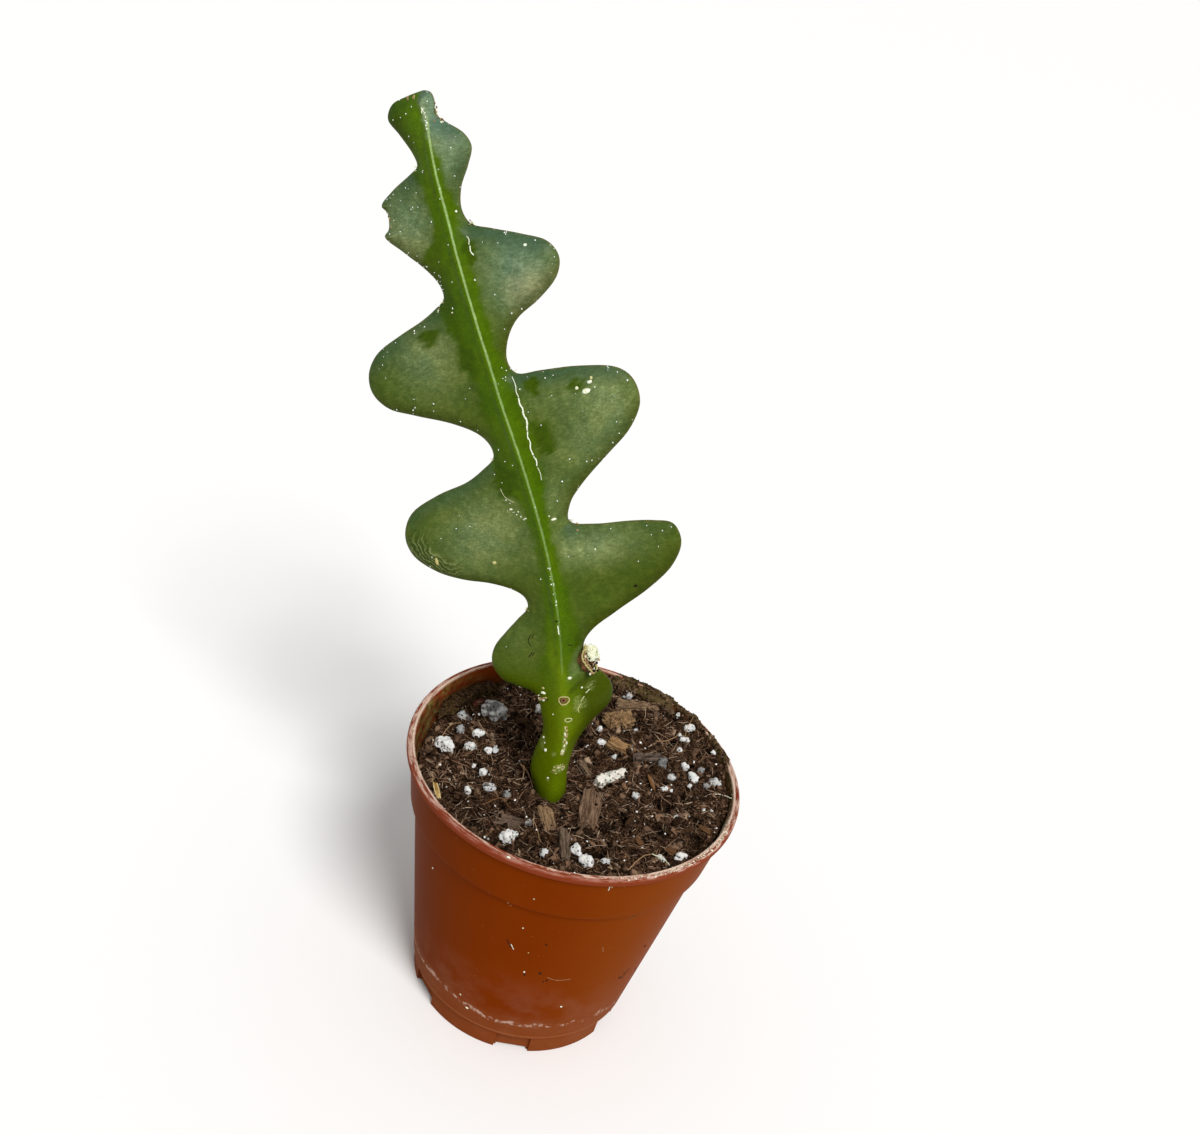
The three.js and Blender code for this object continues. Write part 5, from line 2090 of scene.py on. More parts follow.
# Broken bits of perlite: place x and y, radius and greyness.
BITS = (
    (16.0, 25.7, 0.4, 0.3), (17.6, 23.5, 0.45, 0.2), (18.9, 18.4, 0.5, 0.1), (26.0, 15.1, 0.45, 0.0),
    (19.4, 13.5, 0.5, 0.1), (16.7, 8.9, 0.85, 0.8), (24.2, 8.4, 0.65, 0.6), (19.3, 1.6, 0.42, 0.1),
    (22.5, 3.7, 0.45, 0.1), (26.0, 4.6, 0.55, 0.5), (26.4, -1.3, 0.3, 0.1), (27.5, -1.4, 0.35, 0.1),
    (2.6, 14.3, 0.5, 0.1), (10.1, 10.4, 0.4, 0.1), (7.1, 7.6, 0.5, 0.4), (10.2, -21.3, 0.7, 0.4),
    (-23.2, 5.4, 0.75, 0.5), (-15.7, 2.2, 0.6, 0.4), (-18.7, -2.8, 0.5, 0.05),
    (-10.7, -9.5, 0.75, 0.6), (-0.5, -22.9, 0.7, 0.3), (-26.4, 10.2, 0.4, 0.4),
)

# Hair roots that lie on the surface: places, width and tone.
HAIRS = (
    (((14.4, 14.7, 56.4), (16.6, 15.0, 57.1), (17.9, 16.1, 57.7), (18.8, 19.2, 57.4)),
     0.12, 0.62),
    (((19.9, 18.2, 57.2), (20.0, 19.8, 58.0), (20.3, 21.7, 58.4), (20.8, 23.8, 58.4)),
     0.1, 0.6),
    (((27.6, 3.3, 56.6), (29.5, 2.9, 57.2), (31.0, 2.1, 57.7)), 0.1, 0.97),
    (((27.0, 0.2, 56.2), (29.2, -0.6, 56.6), (30.7, -1.6, 57.1)), 0.06, 0.66),
    (((14.5, -21.4, 53.8), (16.7, -17.9, 54.9), (18.4, -16.9, 55.2)), 0.12, 0.62),
    (((18.2, -17.0, 55.2), (20.2, -17.4, 55.2), (22.4, -18.6, 54.9),
      (24.4, -18.5, 55.2)), 0.09, 0.94),
    (((-10.1, -0.8, 53.6), (-8.2, -3.1, 54.0), (-6.5, -5.9, 53.2)), 0.13, 0.6),
    (((-9.4, -0.9, 53.6), (-8.9, -3.6, 53.8), (-8.9, -5.2, 53.4)), 0.11, 0.66),
    (((-4.4, -15.3, 53.4), (-3.4, -17.4, 53.6), (-2.1, -19.7, 52.8)), 0.08, 0.66),
    (((-26.6, 2.2, 52.3), (-25.6, 4.6, 53.8), (-24.0, 7.0, 53.2)), 0.08, 0.66),
    (((-14.0, -14.0, 53.2), (-11.4, -12.6, 54.2), (-9.4, -13.6, 53.4)), 0.08, 0.5),
)

# Twigs and loose bits on the surface: place, turn in degrees, radii and tone.
TWIGS = (
    ((15.3, 2.5, 55.6), 118, (1.9, 0.4, 0.35), 0.45),
    ((21.4, -14.3, 54.8), -20, (1.3, 0.8, 0.4), 0.3),
    ((15.5, -13.7, 54.3), 160, (1.0, 0.6, 0.4), 0.3),
    ((13.0, -8.5, 54.5), 70, (1.9, 0.45, 0.4), 0.2),
    ((23.5, -8.0, 55.3), 35, (1.6, 0.5, 0.4), 0.2),
    ((27.0, -6.8, 55.8), -30, (1.3, 0.7, 0.4), 0.3),
    ((-12.6, 12.6, 53.6), 20, (1.5, 0.9, 0.5), 0.2),
)


@dataclass(frozen=True)
class Strewn:
    """Crumbs that are strewn on the soil: how many a square metre, how fine and how large."""

    name: str
    density: float
    detail: int
    smallest: tuple
    largest: tuple
    seed: int


@dataclass(frozen=True)
class Laid:
    """Fibres that lie on the soil: how many a square metre, how thick, long and bent."""

    name: str
    density: float
    thickness: float
    shortest: float
    longest: float
    bend: float
    seed: int


@dataclass(frozen=True)
class Bank:
    """Soil heaped between two directions, with crumbs on it."""

    first: float
    last: float
    radius: float
    height: float
    thick: float
    moss: float
    shade: float
    crumbs: int


CRUMBS = (
    Strewn("soil_crumbs_small", 1.9e6, 1, (0.15, 0.12, 0.1), (0.48, 0.36, 0.34), 11),
    Strewn("soil_crumbs_large", 1.7e5, 2, (0.4, 0.3, 0.25), (1.15, 0.8, 0.7), 17),
)
GRIT = Strewn("soil_grit", 0.85e5, 1, (0.06, 0.06, 0.06), (0.4, 0.34, 0.28), 29)
FIBRES = (
    Laid("soil_fibres", 1.3e6, 0.055, 0.8, 4.5, 2.0, 23),
    Laid("soil_twigs", 6.0e4, 0.14, 1.5, 6.0, 1.2, 53),
)
BANKS = (
    Bank(14, 93, 31.55, 57.75, 0.55, 0.6, 1, 520),
    Bank(52, 104, 30.3, 56.75, 1.15, 0.9, 1, 420),
    Bank(132, 168, 28.9, 54.0, 1.5, 0.4, 0.6, 330),
)


@dataclass
class Soil:
    """Peat with crumbs, fibres and grit."""

    pot: Pot
    sizes: SoilSizes = SoilSizes()

    def __post_init__(self) -> None:
        """Works out the side of the soil from the pot's inner wall."""
        self.wall = [(z, r - self.sizes.gap) for r, z in reversed(self.pot.sizes.inner)]

    def height(self, x: Array, y: Array) -> Array:
        """Height of the surface without its roughness.

        Args:
            x: Places to the right of the pot's axis.
            y: Places behind it.

        Returns:
            The heights.
        """
        sizes = self.sizes
        turn = math.radians(sizes.heap_angle)
        towards = x * math.cos(turn) + y * math.sin(turn)
        level = sizes.level + sizes.slope * towards + sizes.heap * np.maximum(0, towards) ** 2
        wave = FULL_TURN / sizes.clod_length
        clods = sum(share * np.sin(wave * (along_x * x + along_y * y) + start)
                    for share, along_x, along_y, start in sizes.waves)
        return np.minimum(level + sizes.clod * clods, sizes.highest)

    def surface(self) -> Shape:
        """The rough top, with its distance from the wall, and the plain side and bottom.

        Returns:
            The closed block of soil.
        """
        sizes = self.sizes
        angles = np.linspace(0, FULL_TURN, sizes.around, endpoint=False)
        direction = np.stack([np.cos(angles), np.sin(angles)], -1)
        level = ramp(self.wall, sizes.level)
        reach = ramp(self.wall, self.height(*(level * direction).T))
        shares = np.linspace(0, 1, sizes.rings + 1)[1:]
        flat = shares[:, None, None] * reach[None, :, None] * direction
        rough = np.array([self.roughness(x, y) for x, y in flat.reshape(-1, 2)])
        rough = rough.reshape(flat.shape[:2]) * smooth(1 - shares, 0, 0.05)[:, None]
        top = np.dstack([flat, self.height(flat[..., 0], flat[..., 1]) + rough])
        heights = [sizes.side_top, *(z for z, _ in reversed(self.wall)
                                     if sizes.bottom < z < sizes.side_top), sizes.bottom]
        side = np.array([np.column_stack([ramp(self.wall, z) * direction,
                                          np.full(sizes.around, z)]) for z in heights])
        middle = np.array([[0, 0, self.height(np.zeros(1), np.zeros(1))[0]]])
        shape = ringed(np.concatenate([top, side]), middle, np.array([[0, 0, sizes.bottom]]))
        room = (1 - shares)[:, None] * reach[None]
        # Depth of the hollows, which the peat and fibres darken as painted shade.
        deep = smooth(-rough, -0.05, 0.85)
        hidden = np.zeros(side.shape[0] * sizes.around + 1)
        return shape.painted(room=np.r_[reach[0], room.ravel(), hidden],
                             deep=np.r_[0, deep.ravel(), hidden])

    def roughness(self, x: float, y: float) -> float:
        """Height of the crumbs and holes at a place.

        Args:
            x: Place to the right of the pot's axis.
            y: Place behind it.

        Returns:
            The height over the even surface.
        """
        sizes = self.sizes
        here = Vector((x, y, 3.7))
        grain = sum(share * noise.noise(here / size + Vector(start))
                    for share, size, start in sizes.grain)
        hole = noise.noise(here / sizes.hole_size + Vector((5, 5, 8))) - sizes.hole_start
        return grain - sizes.hole * max(0.0, hole) - sizes.sunk

    @staticmethod
    def places(growth: Growth, density: float, seed: int, clear: float) -> Wire:
        """Finds random points on the top of the soil.

        Args:
            growth: Tree that starts from the surface.
            density: Number of points on a square metre.
            seed: Seed of the points.
            clear: Least distance from the wall in millimetres.

        Returns:
            The points.
        """
        many, start = growth.size("Density", density), growth.size("Seed", seed)
        shown = growth.math("GREATER_THAN", growth.named("room"), clear)
        return growth.strewn(many * shown, start)

    def crumbs(self, surface: Mesh, sizes: Strewn, material: Material) -> Mesh:
        """Crumbs strewn on the surface.

        Args:
            surface: Top of the soil.
            sizes: Sizes of the crumbs.
            material: Their material.

        Returns:
            The crumbs.
        """
        growth = Growth(sizes.name)
        points = self.places(growth, sizes.density, sizes.seed, clear=0.1)
        kinds = growth.crumbs(5, sizes.detail, 1.0)
        return growth.run(surface, growth.scattered(points, kinds, 5, sizes.smallest,
                                                    sizes.largest, sizes.seed), material)

    def flakes(self, surface: Mesh) -> Mesh:
        """Small flakes of bark strewn on the surface.

        Args:
            surface: Top of the soil.

        Returns:
            The flakes.
        """
        growth = Growth("soil_flakes")
        points = self.places(growth, self.sizes.flake_density, seed=71, clear=1.6)
        long, wide, thick = self.sizes.flake
        blocks = [growth.node("GeometryNodeMeshCube", None, {
            "Size": (long * MM, (wide + self.sizes.flake_widening * kind) * MM, thick * MM),
            "Vertices X": 5, "Vertices Y": 3, "Vertices Z": 2}) for kind in range(4)]
        kinds = growth.worn(blocks, apart=7.7, size=0.9, uneven=0.9)
        flakes = growth.scattered(points, kinds, len(blocks), (0.3, 0.35, 0.5), (1.25, 1.2, 1.1),
                                  seed=73, turns=(0.9, 0.7, FULL_TURN), palest=0.88)
        return growth.run(surface, flakes, Fibres().material())

    def fibres(self, surface: Mesh, sizes: Laid) -> Mesh:
        """Makes bent fibres that lie on the surface.

        Args:
            surface: Top of the soil.
            sizes: Sizes of the fibres.

        Returns:
            The fibres.
        """
        growth = Growth(sizes.name)
        radius = growth.size("Radius", sizes.thickness * MM)
        points = self.places(growth, sizes.density, sizes.seed, clear=0.8)
        straight = growth.node("GeometryNodeCurvePrimitiveLine", None, {
            "Start": (0.0, 0.0, -0.5 * MM), "End": (0.0, 0.0, 0.5 * MM)})
        line = growth.node("GeometryNodeResampleCurve", None, {"Curve": straight, "Count": 5})
        turns = growth.random_vector((1.15, 0.0, 0.0), (1.8, 0.0, FULL_TURN), sizes.seed + 1)
        length = growth.math(
            "MINIMUM", growth.random(sizes.shortest, sizes.longest, sizes.seed + 2),
            growth.named("room") * 1.2)
        laid = growth.instances(points, line, Rotation=growth.turned(turns),
                                Scale=growth.even(length))
        toned = growth.stored(laid, "tone", growth.random(0.0, 1.0, sizes.seed + 3), "INSTANCE")
        push = growth.shaken(growth.place(), 3.0, middle=0.4)
        bent = growth.moved(growth.real(toned), growth.scaled(push, sizes.bend * MM))
        share = growth.node("GeometryNodeSplineParameter", output="Factor")
        width = growth.node("GeometryNodeSetCurveRadius", None, {
            "Curve": bent, "Radius": growth.math("SINE", share * 2.6 + 0.35) + 0.15})
        profile = growth.node("GeometryNodeCurvePrimitiveCircle", None,
                              {"Resolution": 4, "Radius": radius})
        skin = growth.node("GeometryNodeCurveToMesh", None, {
            "Curve": width, "Profile Curve": profile, "Fill Caps": True,
            "Scale": growth.node("GeometryNodeInputRadius")})
        return growth.run(surface, skin, Fibres().material())

    def hairs(self) -> Shape:
        """Hair roots, twigs and loose bits that lie on the surface.

        Returns:
            The hair roots, twigs and bits as one shape.
        """
        rng = np.random.default_rng(41)
        parts = []
        for places, width, tone in HAIRS:
            path = Curve(places).path(7)
            path = path + rng.normal(0, 0.05, path.shape)
            parts.append(tube(path, width * np.linspace(1.1, 0.55, len(path))).painted(tone=tone))
        for centre, turn, radii, tone in TWIGS:
            angle = math.radians(turn)
            axes = np.array([(math.cos(angle), math.sin(angle), 0.12),
                             (-math.sin(angle), math.cos(angle), 0), (0, 0, 1)])
            part = lump(np.array(centre), axes, radii, rng, uneven=0.25, detail=3)
            parts.append(part.painted(tone=tone))
        return Shape.joined(parts)

    def clump(self) -> Shape:
        """Soil heaped over the rim at the back on the right, and against the wall on the left.

        Returns:
            The banks as one shape.
        """
        rng = np.random.default_rng(43)
        parts = []
        for bank in BANKS:
            turns = np.radians(np.linspace(bank.first, bank.last, 170))
            # Uneven thickness, which runs out at both ends.
            swell = (np.sin(7 * turns) * 0.08 + np.sin(23 * turns + 1) * 0.1
                     + np.sin(61 * turns) * 0.07)
            ends = smooth(turns, turns[0], turns[25]) * smooth(-turns, -turns[-1], -turns[-35])
            around = bank.radius + 0.2 * np.sin(31 * turns)
            level = bank.height + 0.1 * np.sin(17 * turns) - 0.6 * (1 - ends)
            radii = (bank.thick + swell) * (0.15 + 0.85 * ends)
            path = np.stack([around * np.cos(turns), around * np.sin(turns), level], -1)
            parts.append(tube(path, radii, sides=10).painted(tone=0.82 * bank.shade,
                                                             moss=bank.moss))
            for _ in range(bank.crumbs):
                place = rng.integers(12, len(turns) - 12)
                slope = rng.uniform(-0.3, math.pi + 0.3)
                size = rng.uniform(0.15, 0.55)
                reach = around[place] + radii[place] * math.cos(slope)
                centre = np.array([reach * math.cos(turns[place]), reach * math.sin(turns[place]),
                                   level[place] + radii[place] * math.sin(slope) - 0.35 * size])
                axes = any_axes(rng)
                tone = rng.uniform(0.6, 1.0) if math.cos(slope) > 0.5 else rng.random()
                part = lump(centre, axes, (size, size * 0.7, size * 0.6), rng, uneven=0.3,
                            detail=1)
                parts.append(part.painted(tone=tone * bank.shade,
                                          moss=float(rng.random() < bank.moss)))
        return Shape.joined(parts)

    def bits(self) -> Shape:
        """Small broken bits of perlite between the grains.

        Returns:
            The bits as one shape.
        """
        rng = np.random.default_rng(47)
        parts = []
        for x, y, size, tone in BITS:
            level = self.height(np.array([x]), np.array([y]))[0]
            for _ in range(1 + (size > 0.5)):
                centre = np.array([x, y, level + 0.45 * size]) + rng.normal(0, 0.35 * size, 3)
                axes = any_axes(rng)
                radii = tuple(size * rng.uniform(0.7, 1.15, 3))
                part = lump(centre, axes, radii, rng, uneven=0.35, detail=3)
                parts.append(part.painted(tone=tone, warm=0.2, pit=0, seam=0.5 * (tone > 0.45)))
        return Shape.joined(parts)

    def build(self) -> None:
        """Adds the soil's pieces."""
        surface = self.surface().mesh("soil_surface")
        peat, dust, fibres = Peat().material(), Dust().material(), Fibres().material()
        for sizes in CRUMBS:
            add_piece(sizes.name, self.crumbs(surface, sizes, peat), peat, Slot.SOIL)
        add_piece(GRIT.name, self.crumbs(surface, GRIT, dust), dust, Slot.PERLITE)
        add_piece("soil_flakes", self.flakes(surface), fibres, Slot.BARK)
        for sizes in FIBRES:
            add_piece(sizes.name, self.fibres(surface, sizes), fibres, Slot.SOIL)
        add_piece("soil_hairs", self.hairs().mesh("hairs"), DryTissue("hairs").material(),
                  Slot.SOIL)
        add_piece("soil_clump", self.clump().mesh("clump"), peat, Slot.SOIL)
        add_piece("perlite_bits", self.bits().mesh("bits"), Perlite().material(), Slot.PERLITE)
        add_piece("soil_surface", surface, peat, Slot.SOIL, ["soil"])


@dataclass(frozen=True)
class Peat:
    """Moist dark peat."""

    dark: Color = srgb(13, 7, 3)
    light: Color = srgb(101, 74, 54)
    patches: Color = srgb(70, 46, 30)
    palest: Color = srgb(150, 120, 96)
    moss: Color = srgb(84, 74, 34)
    darkest: Color = srgb(16, 9, 5)
    hollow_shade: Color = srgb(9, 4, 1)

    @cache
    def material(self) -> Material:
        """Makes the finish.

        Returns:
            The material.
        """
        paint = Paint("peat", Specular_IOR_Level=0.02)
        step, place, tone = paint.step, paint.place(), paint.value("tone")
        grain = paint.noise(place, 0.4, 4.0, 0.7)
        patch = paint.noise(place, 3.0, 3.0)
        # Painted shade in the hollows of the surface, with darker broad patches.
        hollow_shade_share = paint.value("deep") * 0.92 + step(paint.noise(place, 4.5, 2.0), 0.5, 0.66) * 0.35
        color = paint.coats(
            self.dark,
            (step(grain, 0.38, 0.68), self.light),
            (step(patch, 0.5, 0.7) * 0.5, self.patches),
            (step(tone, 0.7, 1.0) * 0.8, self.palest),
            (paint.value("moss") * step(patch, 0.35, 0.55) * 0.55, self.moss),
            (step(tone, 0.4, 0.05) * step(tone, 0.001, 0.01) * 0.7, self.darkest),
            (hollow_shade_share, self.hollow_shade))
        return paint.finish(color, roughness=0.9, relief=grain, depth=0.25)


@dataclass(frozen=True)
class Fibres:
    """Peat fibres from dark brown to straw."""

    dark: Color = srgb(36, 24, 16)
    brown: Color = srgb(126, 96, 74)
    straw: Color = srgb(200, 174, 146)
    hollow_shade: Color = srgb(16, 8, 4)

    @cache
    def material(self) -> Material:
        """Makes the finish.

        Returns:
            The material.
        """
        paint = Paint("fibres", Specular_IOR_Level=0.05)
        tone = paint.value("tone")
        grain = paint.noise(paint.place(), 0.35, 3.0, 0.7)
        color = paint.coats(self.dark, (paint.step(tone, 0.1, 0.75), self.brown),
                            (paint.step(tone, 0.75, 1.0), self.straw))
        color = paint.mix(0.5, color, grain, Blend.OVERLAY)
        # Painted shade on fibres that lie in hollows.
        color = paint.mix(paint.value("deep") * 0.8, color, self.hollow_shade)
        return paint.finish(color, roughness=0.8, relief=grain, depth=0.1)


# ------------------------------------------------------------------------ grains and bark


def copied(name: str, swell: float) -> tuple[Array, Array, Faces]:
    """Copies a CAD node with its seams merged, swelled about its middle.

    Args:
        name: Name of the node.
        swell: Size of the copy as a share of the node's.

    Returns:
        Its middle and its points in pot millimetres, and its faces.
    """
    made = bmesh.new()
    made.from_mesh(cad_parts[name].data)
    bmesh.ops.remove_doubles(made, verts=made.verts, dist=1e-6)
    points, faces = taken(made)
    points = points / MM - AXIS
    middle = (points.min(0) + points.max(0)) / 2
    return middle, middle + swell * (points - middle), faces


# How grey each of the greyer grains is.
GREY = {"perlite_04": 0.5, "perlite_05": 0.4, "perlite_09": 0.5, "perlite_19": 0.05,
        "perlite_15": 0.6, "perlite_20": 0.45, "perlite_23": 0.4, "perlite_11": 0.5,
        "perlite_27": 0.7, "perlite_28": 0.3, "perlite_22": 0.35}


@dataclass(frozen=True)
class Grains:
    """White perlite: the CAD grains with bubbles and pits, sizes in millimetres."""

    swell: float = 1.12
    pit: float = 0.3
    pit_size: float = 0.95
    bubble: float = 0.55
    bubble_size: float = 0.8
    lobe: float = 0.5
    lobe_size: float = 1.5
    full_size: float = 4.0

    def merged(self, names: list[str]) -> Shape:
        """Copies of the CAD grains as one shape.

        Args:
            names: CAD nodes of the grains.

        Returns:
            The shape.
        """
        parts = []
        for name in names:
            _, points, faces = copied(name, self.swell)
            parts.append(Shape(points, faces).painted(
                tone=GREY.get(name, 0.0), size=np.ptp(points, axis=0).max() / self.swell,
                warm=1.0 if name == "perlite_rod" else 0.2))
        return Shape.joined(parts)

    def build(self) -> None:
        """Adds the grains as one piece."""
        names = sorted(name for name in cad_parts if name.startswith("perlite"))
        growth = Growth("perlite")
        pit_depth = growth.size("Pit depth", self.pit * MM)
        bubble_height = growth.size("Bubble height", self.bubble * MM)
        lobe_height = growth.size("Lobe height", self.lobe * MM)
        fine = growth.node("GeometryNodeSubdivisionSurface", None,
                           {"Mesh": growth.start, "Level": 2})
        normal, place = growth.node("GeometryNodeInputNormal"), growth.place()
        share = growth.math("MINIMUM", growth.named("size") / self.full_size, 1.0)
        chance = growth.axis(growth.cells(place, self.pit_size, "Color"), "X")
        pit = growth.step(growth.cells(place, self.pit_size), 0.5, 0.2)
        pit = pit * growth.step(chance, 0.45, 0.55)
        bubble = growth.noise(place, self.bubble_size, 3.0, 0.6) - 0.5
        lobe = growth.cells(place, self.lobe_size)
        push = (bubble * bubble_height * 2.0 - pit * pit_depth
                - growth.step(lobe, 0.3, 0.75) * lobe_height + lobe_height * 0.3)
        moved = growth.moved(fine, growth.scaled(normal, push * share))
        stored = growth.stored(moved, "pit", pit)
        stored = growth.stored(stored, "seam", growth.step(lobe, 0.46, 0.64))
        material = Perlite().material()
        mesh = growth.run(self.merged(names).mesh("grains"), stored, material)
        add_piece("perlite_grains", mesh, material, Slot.PERLITE, names)


@dataclass(frozen=True)
class Perlite:
    """Chalky expanded mineral with dark pits."""

    shade: Color = srgb(196, 196, 194)
    white: Color = srgb(252, 252, 250)
    grey: Color = srgb(116, 118, 118)
    grey_patches: Color = srgb(196, 200, 204)
    seam: Color = srgb(52, 42, 34)
    warmth: Color = srgb(255, 249, 236)
    pit: Color = srgb(104, 92, 78)
    hole: Color = srgb(40, 32, 26)

    @cache
    def material(self) -> Material:
        """Makes the finish.

        Returns:
            The material.
        """
        paint = Paint("perlite", Specular_IOR_Level=0.08, Subsurface_Weight=0.1,
                      Subsurface_Scale=0.0006)
        step, place, tone = paint.step, paint.place(), paint.value("tone")
        grain = paint.noise(place, 0.3, 3.0, 0.6)
        holes = step(paint.cells(place, 0.8), 0.34, 0.2) * step(grain, 0.3, 0.45)
        color = paint.coats(
            self.shade,
            (grain, self.white),
            (tone * 0.8, self.grey),
            (step(paint.noise(place, 0.9, 2.0), 0.45, 0.6) * tone, self.grey_patches),
            (paint.value("seam") * (tone * 1.5 + 0.12), self.seam))
        color = paint.mix(paint.value("warm"), color, self.warmth, Blend.MULTIPLY)
        color = paint.coats(color, (paint.value("pit") * 0.55, self.pit),
                            (holes * 0.9, self.hole))
        return paint.finish(color, roughness=0.85, relief=grain - holes * 0.6, depth=0.12)


@dataclass(frozen=True)
class Chip:
    """Look of one chip: its turn in degrees, and shares of 0 to 1 for its tone and form."""

    turn: float
    tone: float
    red: float
    knobby: float
    swell: float


@dataclass(frozen=True)
class Chips:
    """Bark and straw: the CAD chips with fibrous, weathered faces."""

    looks: tuple = (
        ("bark_plate", Chip(-86, 0.2, 0.15, 0.0, 1.03)),
        ("bark_split", Chip(-67, 0.42, 0.0, 0.0, 1.1)),
        ("bark_stick_grey", Chip(-76, 0.1, 0.0, 0.0, 1.05)),
        ("bark_flat", Chip(6, 0.06, 0.05, 0.0, 1.15)),
        ("bark_sliver", Chip(-19, 0.78, 0.1, 0.0, 1.2)),
        ("bark_lump", Chip(28, 0.6, 0.0, 1.0, 0.97)),
        ("bark_long", Chip(20, 0.3, 0.0, 0.25, 1.05)),
        ("bark_dark", Chip(27, 0.0, 0.0, 0.0, 1.03)),
        ("bark_stick_dark", Chip(-52, 0.2, 0.0, 0.0, 1.05)),
        ("bark_red", Chip(57, 0.1, 1.0, 0.2, 1.05)),
        ("straw", Chip(-66, 1.0, 0.0, 0.0, 1.0)))
    bark_rough: float = 0.75
    straw_rough: float = 0.2
    rounding: float = 0.35
    knobby_rounding: float = 0.55
    stretch: tuple = (0.28, 1.8, 1.8)
    ridge_size: float = 1.0
    lump_size: float = 1.7
    sharp: float = 50.0

    def merged(self, names: list[str]) -> Shape:
        """Copies of the CAD chips, painted with places that run along their own grain.

        Args:
            names: CAD nodes of the chips.

        Returns:
            The shape.
        """
        looks = dict(self.looks)
        parts = []
        for name in names:
            look = looks[name]
            middle, points, faces = copied(name, look.swell)
            angle = math.radians(-look.turn)
            spin = np.array([(math.cos(angle), math.sin(angle), 0),
                             (-math.sin(angle), math.cos(angle), 0), (0, 0, 1)])
            grain = (points - middle) @ spin * (1 + 3 * look.knobby, 1, 1)
            parts.append(Shape(points, faces).painted(
                tone=look.tone, red=look.red, knobby=look.knobby,
                chip_place=grain + (0, 7.0 * len(parts), 0)))
        return Shape.joined(parts)

    def grown(self, name: str, names: list[str], rough: float, material: Material) -> Mesh:
        """Makes finer chips whose faces are split along the grain.

        Args:
            name: Name of the tree.
            names: CAD nodes of the chips.
            rough: Height of the ridges in millimetres.
            material: Their material.

        Returns:
            The chips as one mesh.
        """
        growth = Growth(name)
        height = growth.size("Roughness", rough * MM)
        fine = growth.node("GeometryNodeSubdivideMesh", None,
                           {"Mesh": growth.start, "Level": 3})
        here = growth.node("GeometryNodeInputPosition")
        round_place = growth.node("GeometryNodeBlurAttribute", {"data_type": "FLOAT_VECTOR"},
                                  {"Value": here, "Iterations": 12})
        knobby = growth.named("knobby")
        fine = growth.moved(fine, growth.scaled(growth.vector("SUBTRACT", round_place, here),
                                                knobby * self.knobby_rounding + self.rounding))
        place = growth.named("chip_place", "FLOAT_VECTOR")
        stretched = growth.vector("MULTIPLY", place, self.stretch)
        ridges = growth.noise(stretched, self.ridge_size, 3.0, 0.6) - 0.5
        lumps = growth.noise(place, self.lump_size, 2.0) - 0.5
        push = (ridges * 1.3 + lumps) * height * (knobby * 1.6 + 1.0)
        moved = growth.moved(fine, growth.scaled(growth.node("GeometryNodeInputNormal"), push))
        return growth.run(self.merged(names).mesh("chips"), moved, material)

    def build(self) -> None:
        """Adds the bark as one piece and the straw as another."""
        bark = sorted(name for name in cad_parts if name.startswith("bark"))
        for piece, name, nodes, rough, material, slot in (
                ("bark_pieces", "bark", bark, self.bark_rough, Bark().material(), Slot.BARK),
                ("straw_piece", "straw", ["straw"], self.straw_rough, Straw().material(),
                 Slot.STRAW)):
            add_piece(piece, self.grown(name, nodes, rough, material), material, slot, nodes,
                      sharp=self.sharp)


@dataclass(frozen=True)
class Bark:
    """Weathered bark with a long grain, darker or lighter by its tone."""

    dark: tuple[Color, Color] = (srgb(30, 22, 18), srgb(88, 62, 38))
    light: tuple[Color, Color] = (srgb(112, 96, 84), srgb(194, 154, 104))
    red: Color = srgb(104, 44, 30)

    @cache
    def material(self) -> Material:
        """Makes the finish.

        Returns:
            The material.
        """
        paint = Paint("bark", Specular_IOR_Level=0.06)
        place, tone = paint.chip_place(), paint.value("tone")
        grain = paint.noise(paint.vector("MULTIPLY", place, (0.25, 2.4, 2.4)), 0.8, 4.0, 0.65)
        fine = paint.noise(place, 0.35, 3.0, 0.7)
        color = paint.coats(
            paint.mix(tone, *self.dark),
            (paint.step(grain * 0.75 + fine * 0.25, 0.32, 0.66), paint.mix(tone, *self.light)),
            (paint.value("red") * 0.7, self.red))
        return paint.finish(color, roughness=0.85, relief=grain * 0.7 + fine * 0.3, depth=0.22)


@dataclass(frozen=True)
class Straw:
    """Dry pale stalk."""

    brown: Color = srgb(150, 112, 52)
    pale: Color = srgb(226, 204, 146)

    @cache
    def material(self) -> Material:
        """Makes the finish.

        Returns:
            The material.
        """
        paint = Paint("straw", Specular_IOR_Level=0.1)
        place = paint.vector("MULTIPLY", paint.chip_place(), (0.2, 3.0, 3.0))
        grain = paint.noise(place, 0.8)
        color = paint.mix(paint.step(grain, 0.35, 0.65), self.brown, self.pale)
        return paint.finish(color, roughness=0.65, relief=grain, depth=0.1)


# -------------------------------------------------------------------------------- studio


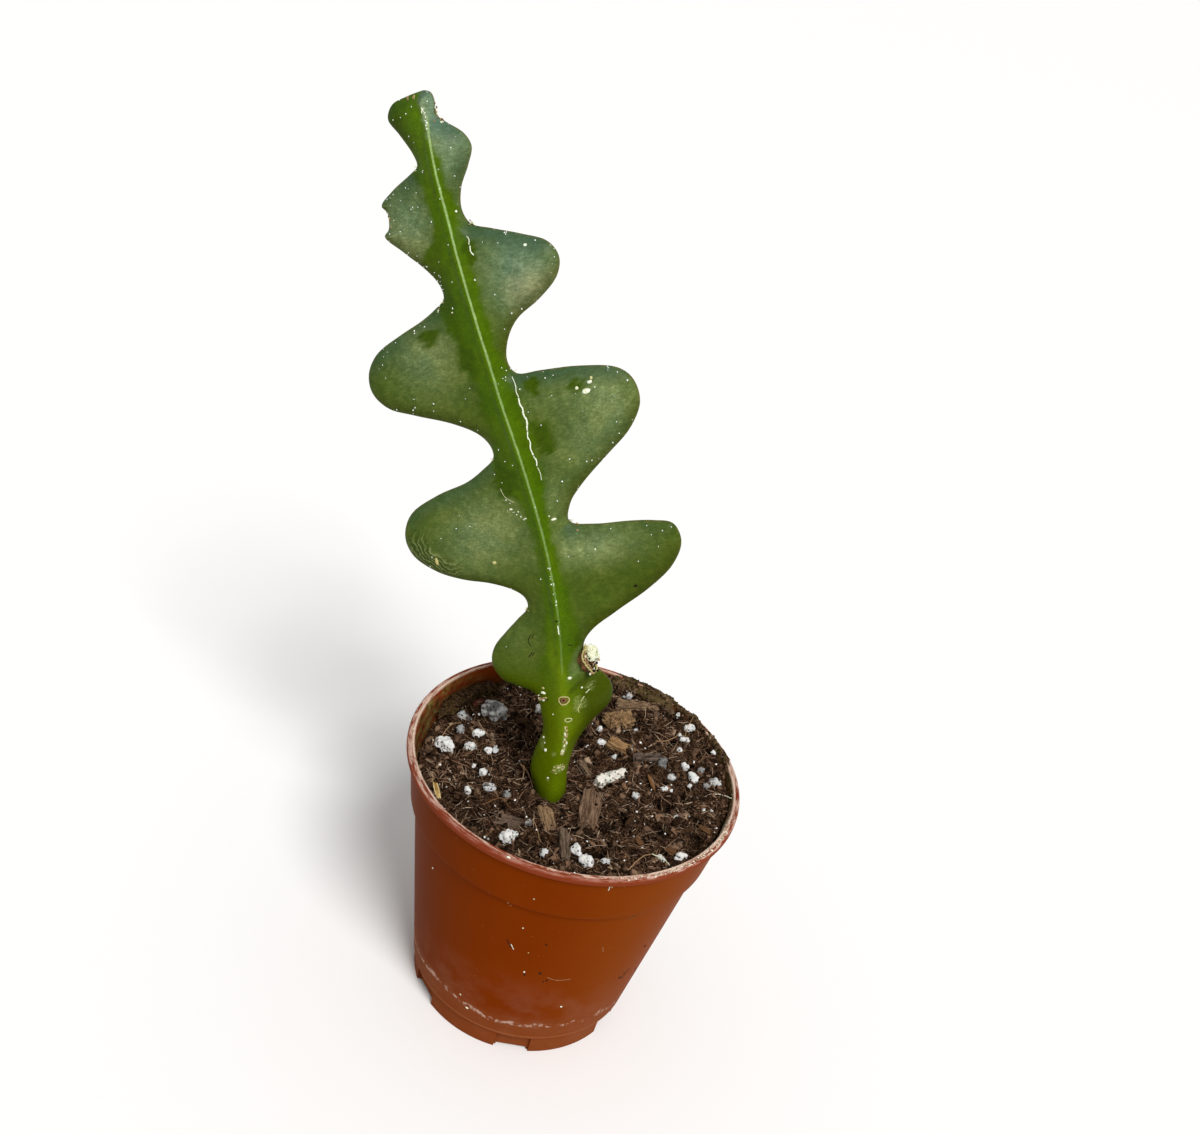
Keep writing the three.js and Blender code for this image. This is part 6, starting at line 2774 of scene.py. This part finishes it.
@dataclass(frozen=True)
class Studio:
    """Floor, light and camera. Places are in pot millimetres, the floor's size in metres."""

    camera: tuple = (0.0, -228.134, 238.170)
    camera_turn: tuple = (58.04798, -13.07150, 9.37343)
    lens: float = 45.0
    sensor: float = 36.0
    floor_size: float = 12.0
    floor: Color = srgb(244, 243, 241)
    sky: float = 0.45
    key_aim: tuple = (-0.27, 0.52, -0.8)
    key_strength: float = 2.7
    key_angle: float = 22.0

    def lay_floor(self) -> None:
        """Pale floor that the object stands on."""
        half = self.floor_size / 2
        mesh = bpy.data.meshes.new("floor")
        mesh.from_pydata([(-half, -half, 0), (half, -half, 0), (half, half, 0),
                          (-half, half, 0)], [], [(0, 1, 2, 3)])
        mesh.materials.append(Paint("floor").finish(self.floor, roughness=0.8))
        floor = bpy.data.objects.new("floor", mesh)
        bpy.context.scene.collection.objects.link(floor)

    def hang_light(self) -> None:
        """Even light from the sky, and a broad lamp in front, on the right and above."""
        world = bpy.data.worlds.new("studio")
        world.use_nodes = True
        sky = next(node for node in world.node_tree.nodes if node.type == "BACKGROUND")
        sky.inputs["Color"].default_value = (1.0, 1.0, 1.0, 1.0)
        sky.inputs["Strength"].default_value = self.sky
        bpy.context.scene.world = world
        data = bpy.data.lights.new("key", "SUN")
        data.energy, data.angle = self.key_strength, math.radians(self.key_angle)
        lamp = bpy.data.objects.new("key", data)
        lamp.rotation_euler = Vector(self.key_aim).to_track_quat("-Z", "Y").to_euler()
        bpy.context.scene.collection.objects.link(lamp)

    def set_camera(self) -> None:
        """Camera above and in front of the pot."""
        scene = bpy.context.scene
        data = bpy.data.cameras.new("camera")
        data.lens, data.sensor_width = self.lens, self.sensor
        camera = bpy.data.objects.new("camera", data)
        camera.location = Vector((np.array(self.camera) + AXIS) * MM)
        camera.rotation_euler = Euler([math.radians(turn) for turn in self.camera_turn])
        scene.collection.objects.link(camera)
        scene.camera = camera
        scene.view_settings.view_transform = "Standard"

    def build(self) -> None:
        """Adds the surroundings, which aren't part of the object."""
        self.lay_floor()
        self.hang_light()
        self.set_camera()


def main() -> None:
    """Builds all pieces."""
    pot = Pot()
    Stem().build()
    pot.build()
    Soil(pot).build()
    Grains().build()
    Chips().build()
    Studio().build()


if __name__ == "__main__":
    main()
